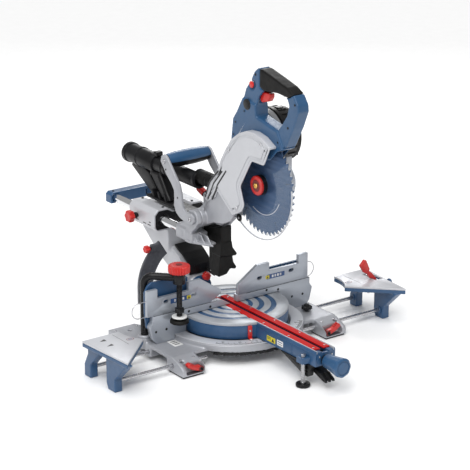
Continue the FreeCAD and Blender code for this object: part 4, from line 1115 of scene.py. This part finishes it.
hub = [
    lathe(
        "flange", [(10.3, -2.2), (20, -1.4), (20.5, -1.8), (20.5, -10.6), (19.6, -11.8), (10.3, -12)], "X",
        BLADE_AXIS, "steel", 64, closed=True),
    lathe(
        "flange", [(10.3, 1.2), (20.4, 1.2), (20.4, 5.4), (19.6, 6), (10.3, 6)], "X", BLADE_AXIS, "steel",
        64, closed=True),
    lathe("shaft", box(0, -16.9, 9.8, 52), "X", BLADE_AXIS, "steel", 48),
]
together("arbor_shape", hub, "blade_body", ["arbor"])
cap = [
    lathe(
        "ring", [
            (10.1, -12.1), (20.4, -12.1), (20.5, -12.8), (20.5, -15.6), (19.2, -17), (13.2, -17.4),
            (12.2, -16.6), (10.1, -16.6)], "X", BLADE_AXIS, "red", 72, closed=True),
    lathe(
        "side", [(20.3, -2.4), (21.1, -2.8), (21.1, -11.4), (20.3, -12)], "X", BLADE_AXIS, "black", 72,
        closed=True),
    lathe(
        "bolt", [
            (0, -16.7), (5.4, -16.7), (6, -17.2), (6, -18.6), (5.2, -19.4), (3.2, -19.4), (3, -18.2),
            (0, -18.2)], "X", BLADE_AXIS, "brass", 6, angle=20),
]
cap.append(lathe(
    "washer", [(0, -16.6), (12.0, -16.6), (12.3, -17), (12.1, -17.4), (0, -17.4)], "X", BLADE_AXIS,
    "red_dark", 56))
together("hub_cap_shape", cap, "blade_body", ["hub_cap"])

kept("blade_guard", "clear", 0)
rim = arc(BLADE_Y, BLADE_Z, 114.6, 172, 310, 60) + arc(BLADE_Y, BLADE_Z, 112.4, 310, 172, 60)
together("guard_rim", [slab("arc", rim, "YZ", -12.4, -9.6, "cover", 0.5, steps=1)], "guard")

wheel = [
    lathe(
        "tyre", [(2.2, -16.4), (6.8, -16.4), (8, -15.4), (8, -13.4), (6.8, -12.4), (2.2, -12.4)], "X",
        (0, BLADE_Y + 62, BLADE_Z - 86), "rubber", 48, closed=True),
    lathe(
        "pin", [(0, -17.2), (2.0, -17.2), (2.6, -16.6), (2.6, -12.2), (0, -12.2)], "X",
        (0, BLADE_Y + 62, BLADE_Z - 86), "steel", 24),
]
together("roller_shape", wheel, "roller", ["guard_roller"])

# ---- stops

flag = [
    slab(
        "leaf", rounded([
            (351, 78), (348, 73.5), (343, 74), (338.8, 80), (338.6, 83), (331, 84.2), (323.5, 95.5),
            (327, 103), (336, 96)], 2), "XZ", -56, -49, "red", 1.6),
    slab(
        "leaf", rounded([
            (328, 102.4), (323, 96), (313, 101), (302.6, 118.5), (314.3, 130.7), (319.4, 128.5),
            (329.8, 106.4)], 3), "XZ", -56, -49, "red", 1.6),
    slab(
        "inlay", rounded([(321, 103), (315, 105), (308, 118), (315, 124), (324, 106)], 2), "XZ", -56.7,
        -55.8, "red", 0.4),
    lathe("pin", box(0, -65.7, 2.9, -18.3), "Y", (348, 0, 77), "steel", 24),
]
together("length_stop_shape", flag, "stop", ["length_stop"])

# ---- floor, light, camera

scene = bpy.context.scene
FLOOR_HALF, FLOOR_Z = 6000, -0.6
card = material("floor_card", (0.98, 0.98, 0.98), 0.75, 0.0, vary=0.01, grain=0.05)
floor = made(
    "floor", [(x, y, FLOOR_Z) for x, y in box(-FLOOR_HALF, -FLOOR_HALF, FLOOR_HALF, FLOOR_HALF)],
    [(0, 1, 2, 3)], card)
world = bpy.data.worlds.new("studio")
scene.world = world
world.use_nodes = True
sky = world.node_tree.nodes["Background"]
sky.inputs["Color"].default_value = (1, 1, 1, 1)
sky.inputs["Strength"].default_value = 0.38


def lamp(name, at, aim, size, watts):
    """A soft rectangular light aimed at a point, metres."""
    light = bpy.data.lights.new(name, "AREA")
    light.shape = "RECTANGLE"
    light.size, light.size_y = size
    light.energy = watts
    o = placed(name, light)
    o.location = at
    o.rotation_euler = (Vector(aim) - Vector(at)).to_track_quat("-Z", "Y").to_euler()


sun = bpy.data.lights.new("soft_top", "SUN")
sun.energy = 2.1
sun.angle = math.radians(55)
high = placed("soft_top", sun)
high.rotation_euler = Vector((-0.35, -0.25, 1.0)).to_track_quat("Z", "Y").to_euler()
lamp("key", (-1.6, -1.4, 1.9), (0, 0, 0.3), (1.0, 0.8), 16)
lamp("rim", (1.2, 1.6, 1.4), (0, 0, 0.35), (0.8, 0.8), 12)

camera = bpy.data.cameras.new("camera")
camera.lens = 153.0
camera.sensor_width = 36
camera.clip_end = 30
eye = placed("camera", camera)
AZIMUTH, ELEVATION, DISTANCE = math.radians(-35.68), math.radians(19.04), 4.2147
aim = Vector((0.00419, 0, 0.2355))
across = math.cos(ELEVATION)
back = Vector((math.sin(AZIMUTH) * across, -math.cos(AZIMUTH) * across, math.sin(ELEVATION)))
eye.location = aim + back * DISTANCE
eye.rotation_euler = back.to_track_quat("Z", "Y").to_euler()
scene.camera = eye
scene.view_settings.view_transform = "Standard"
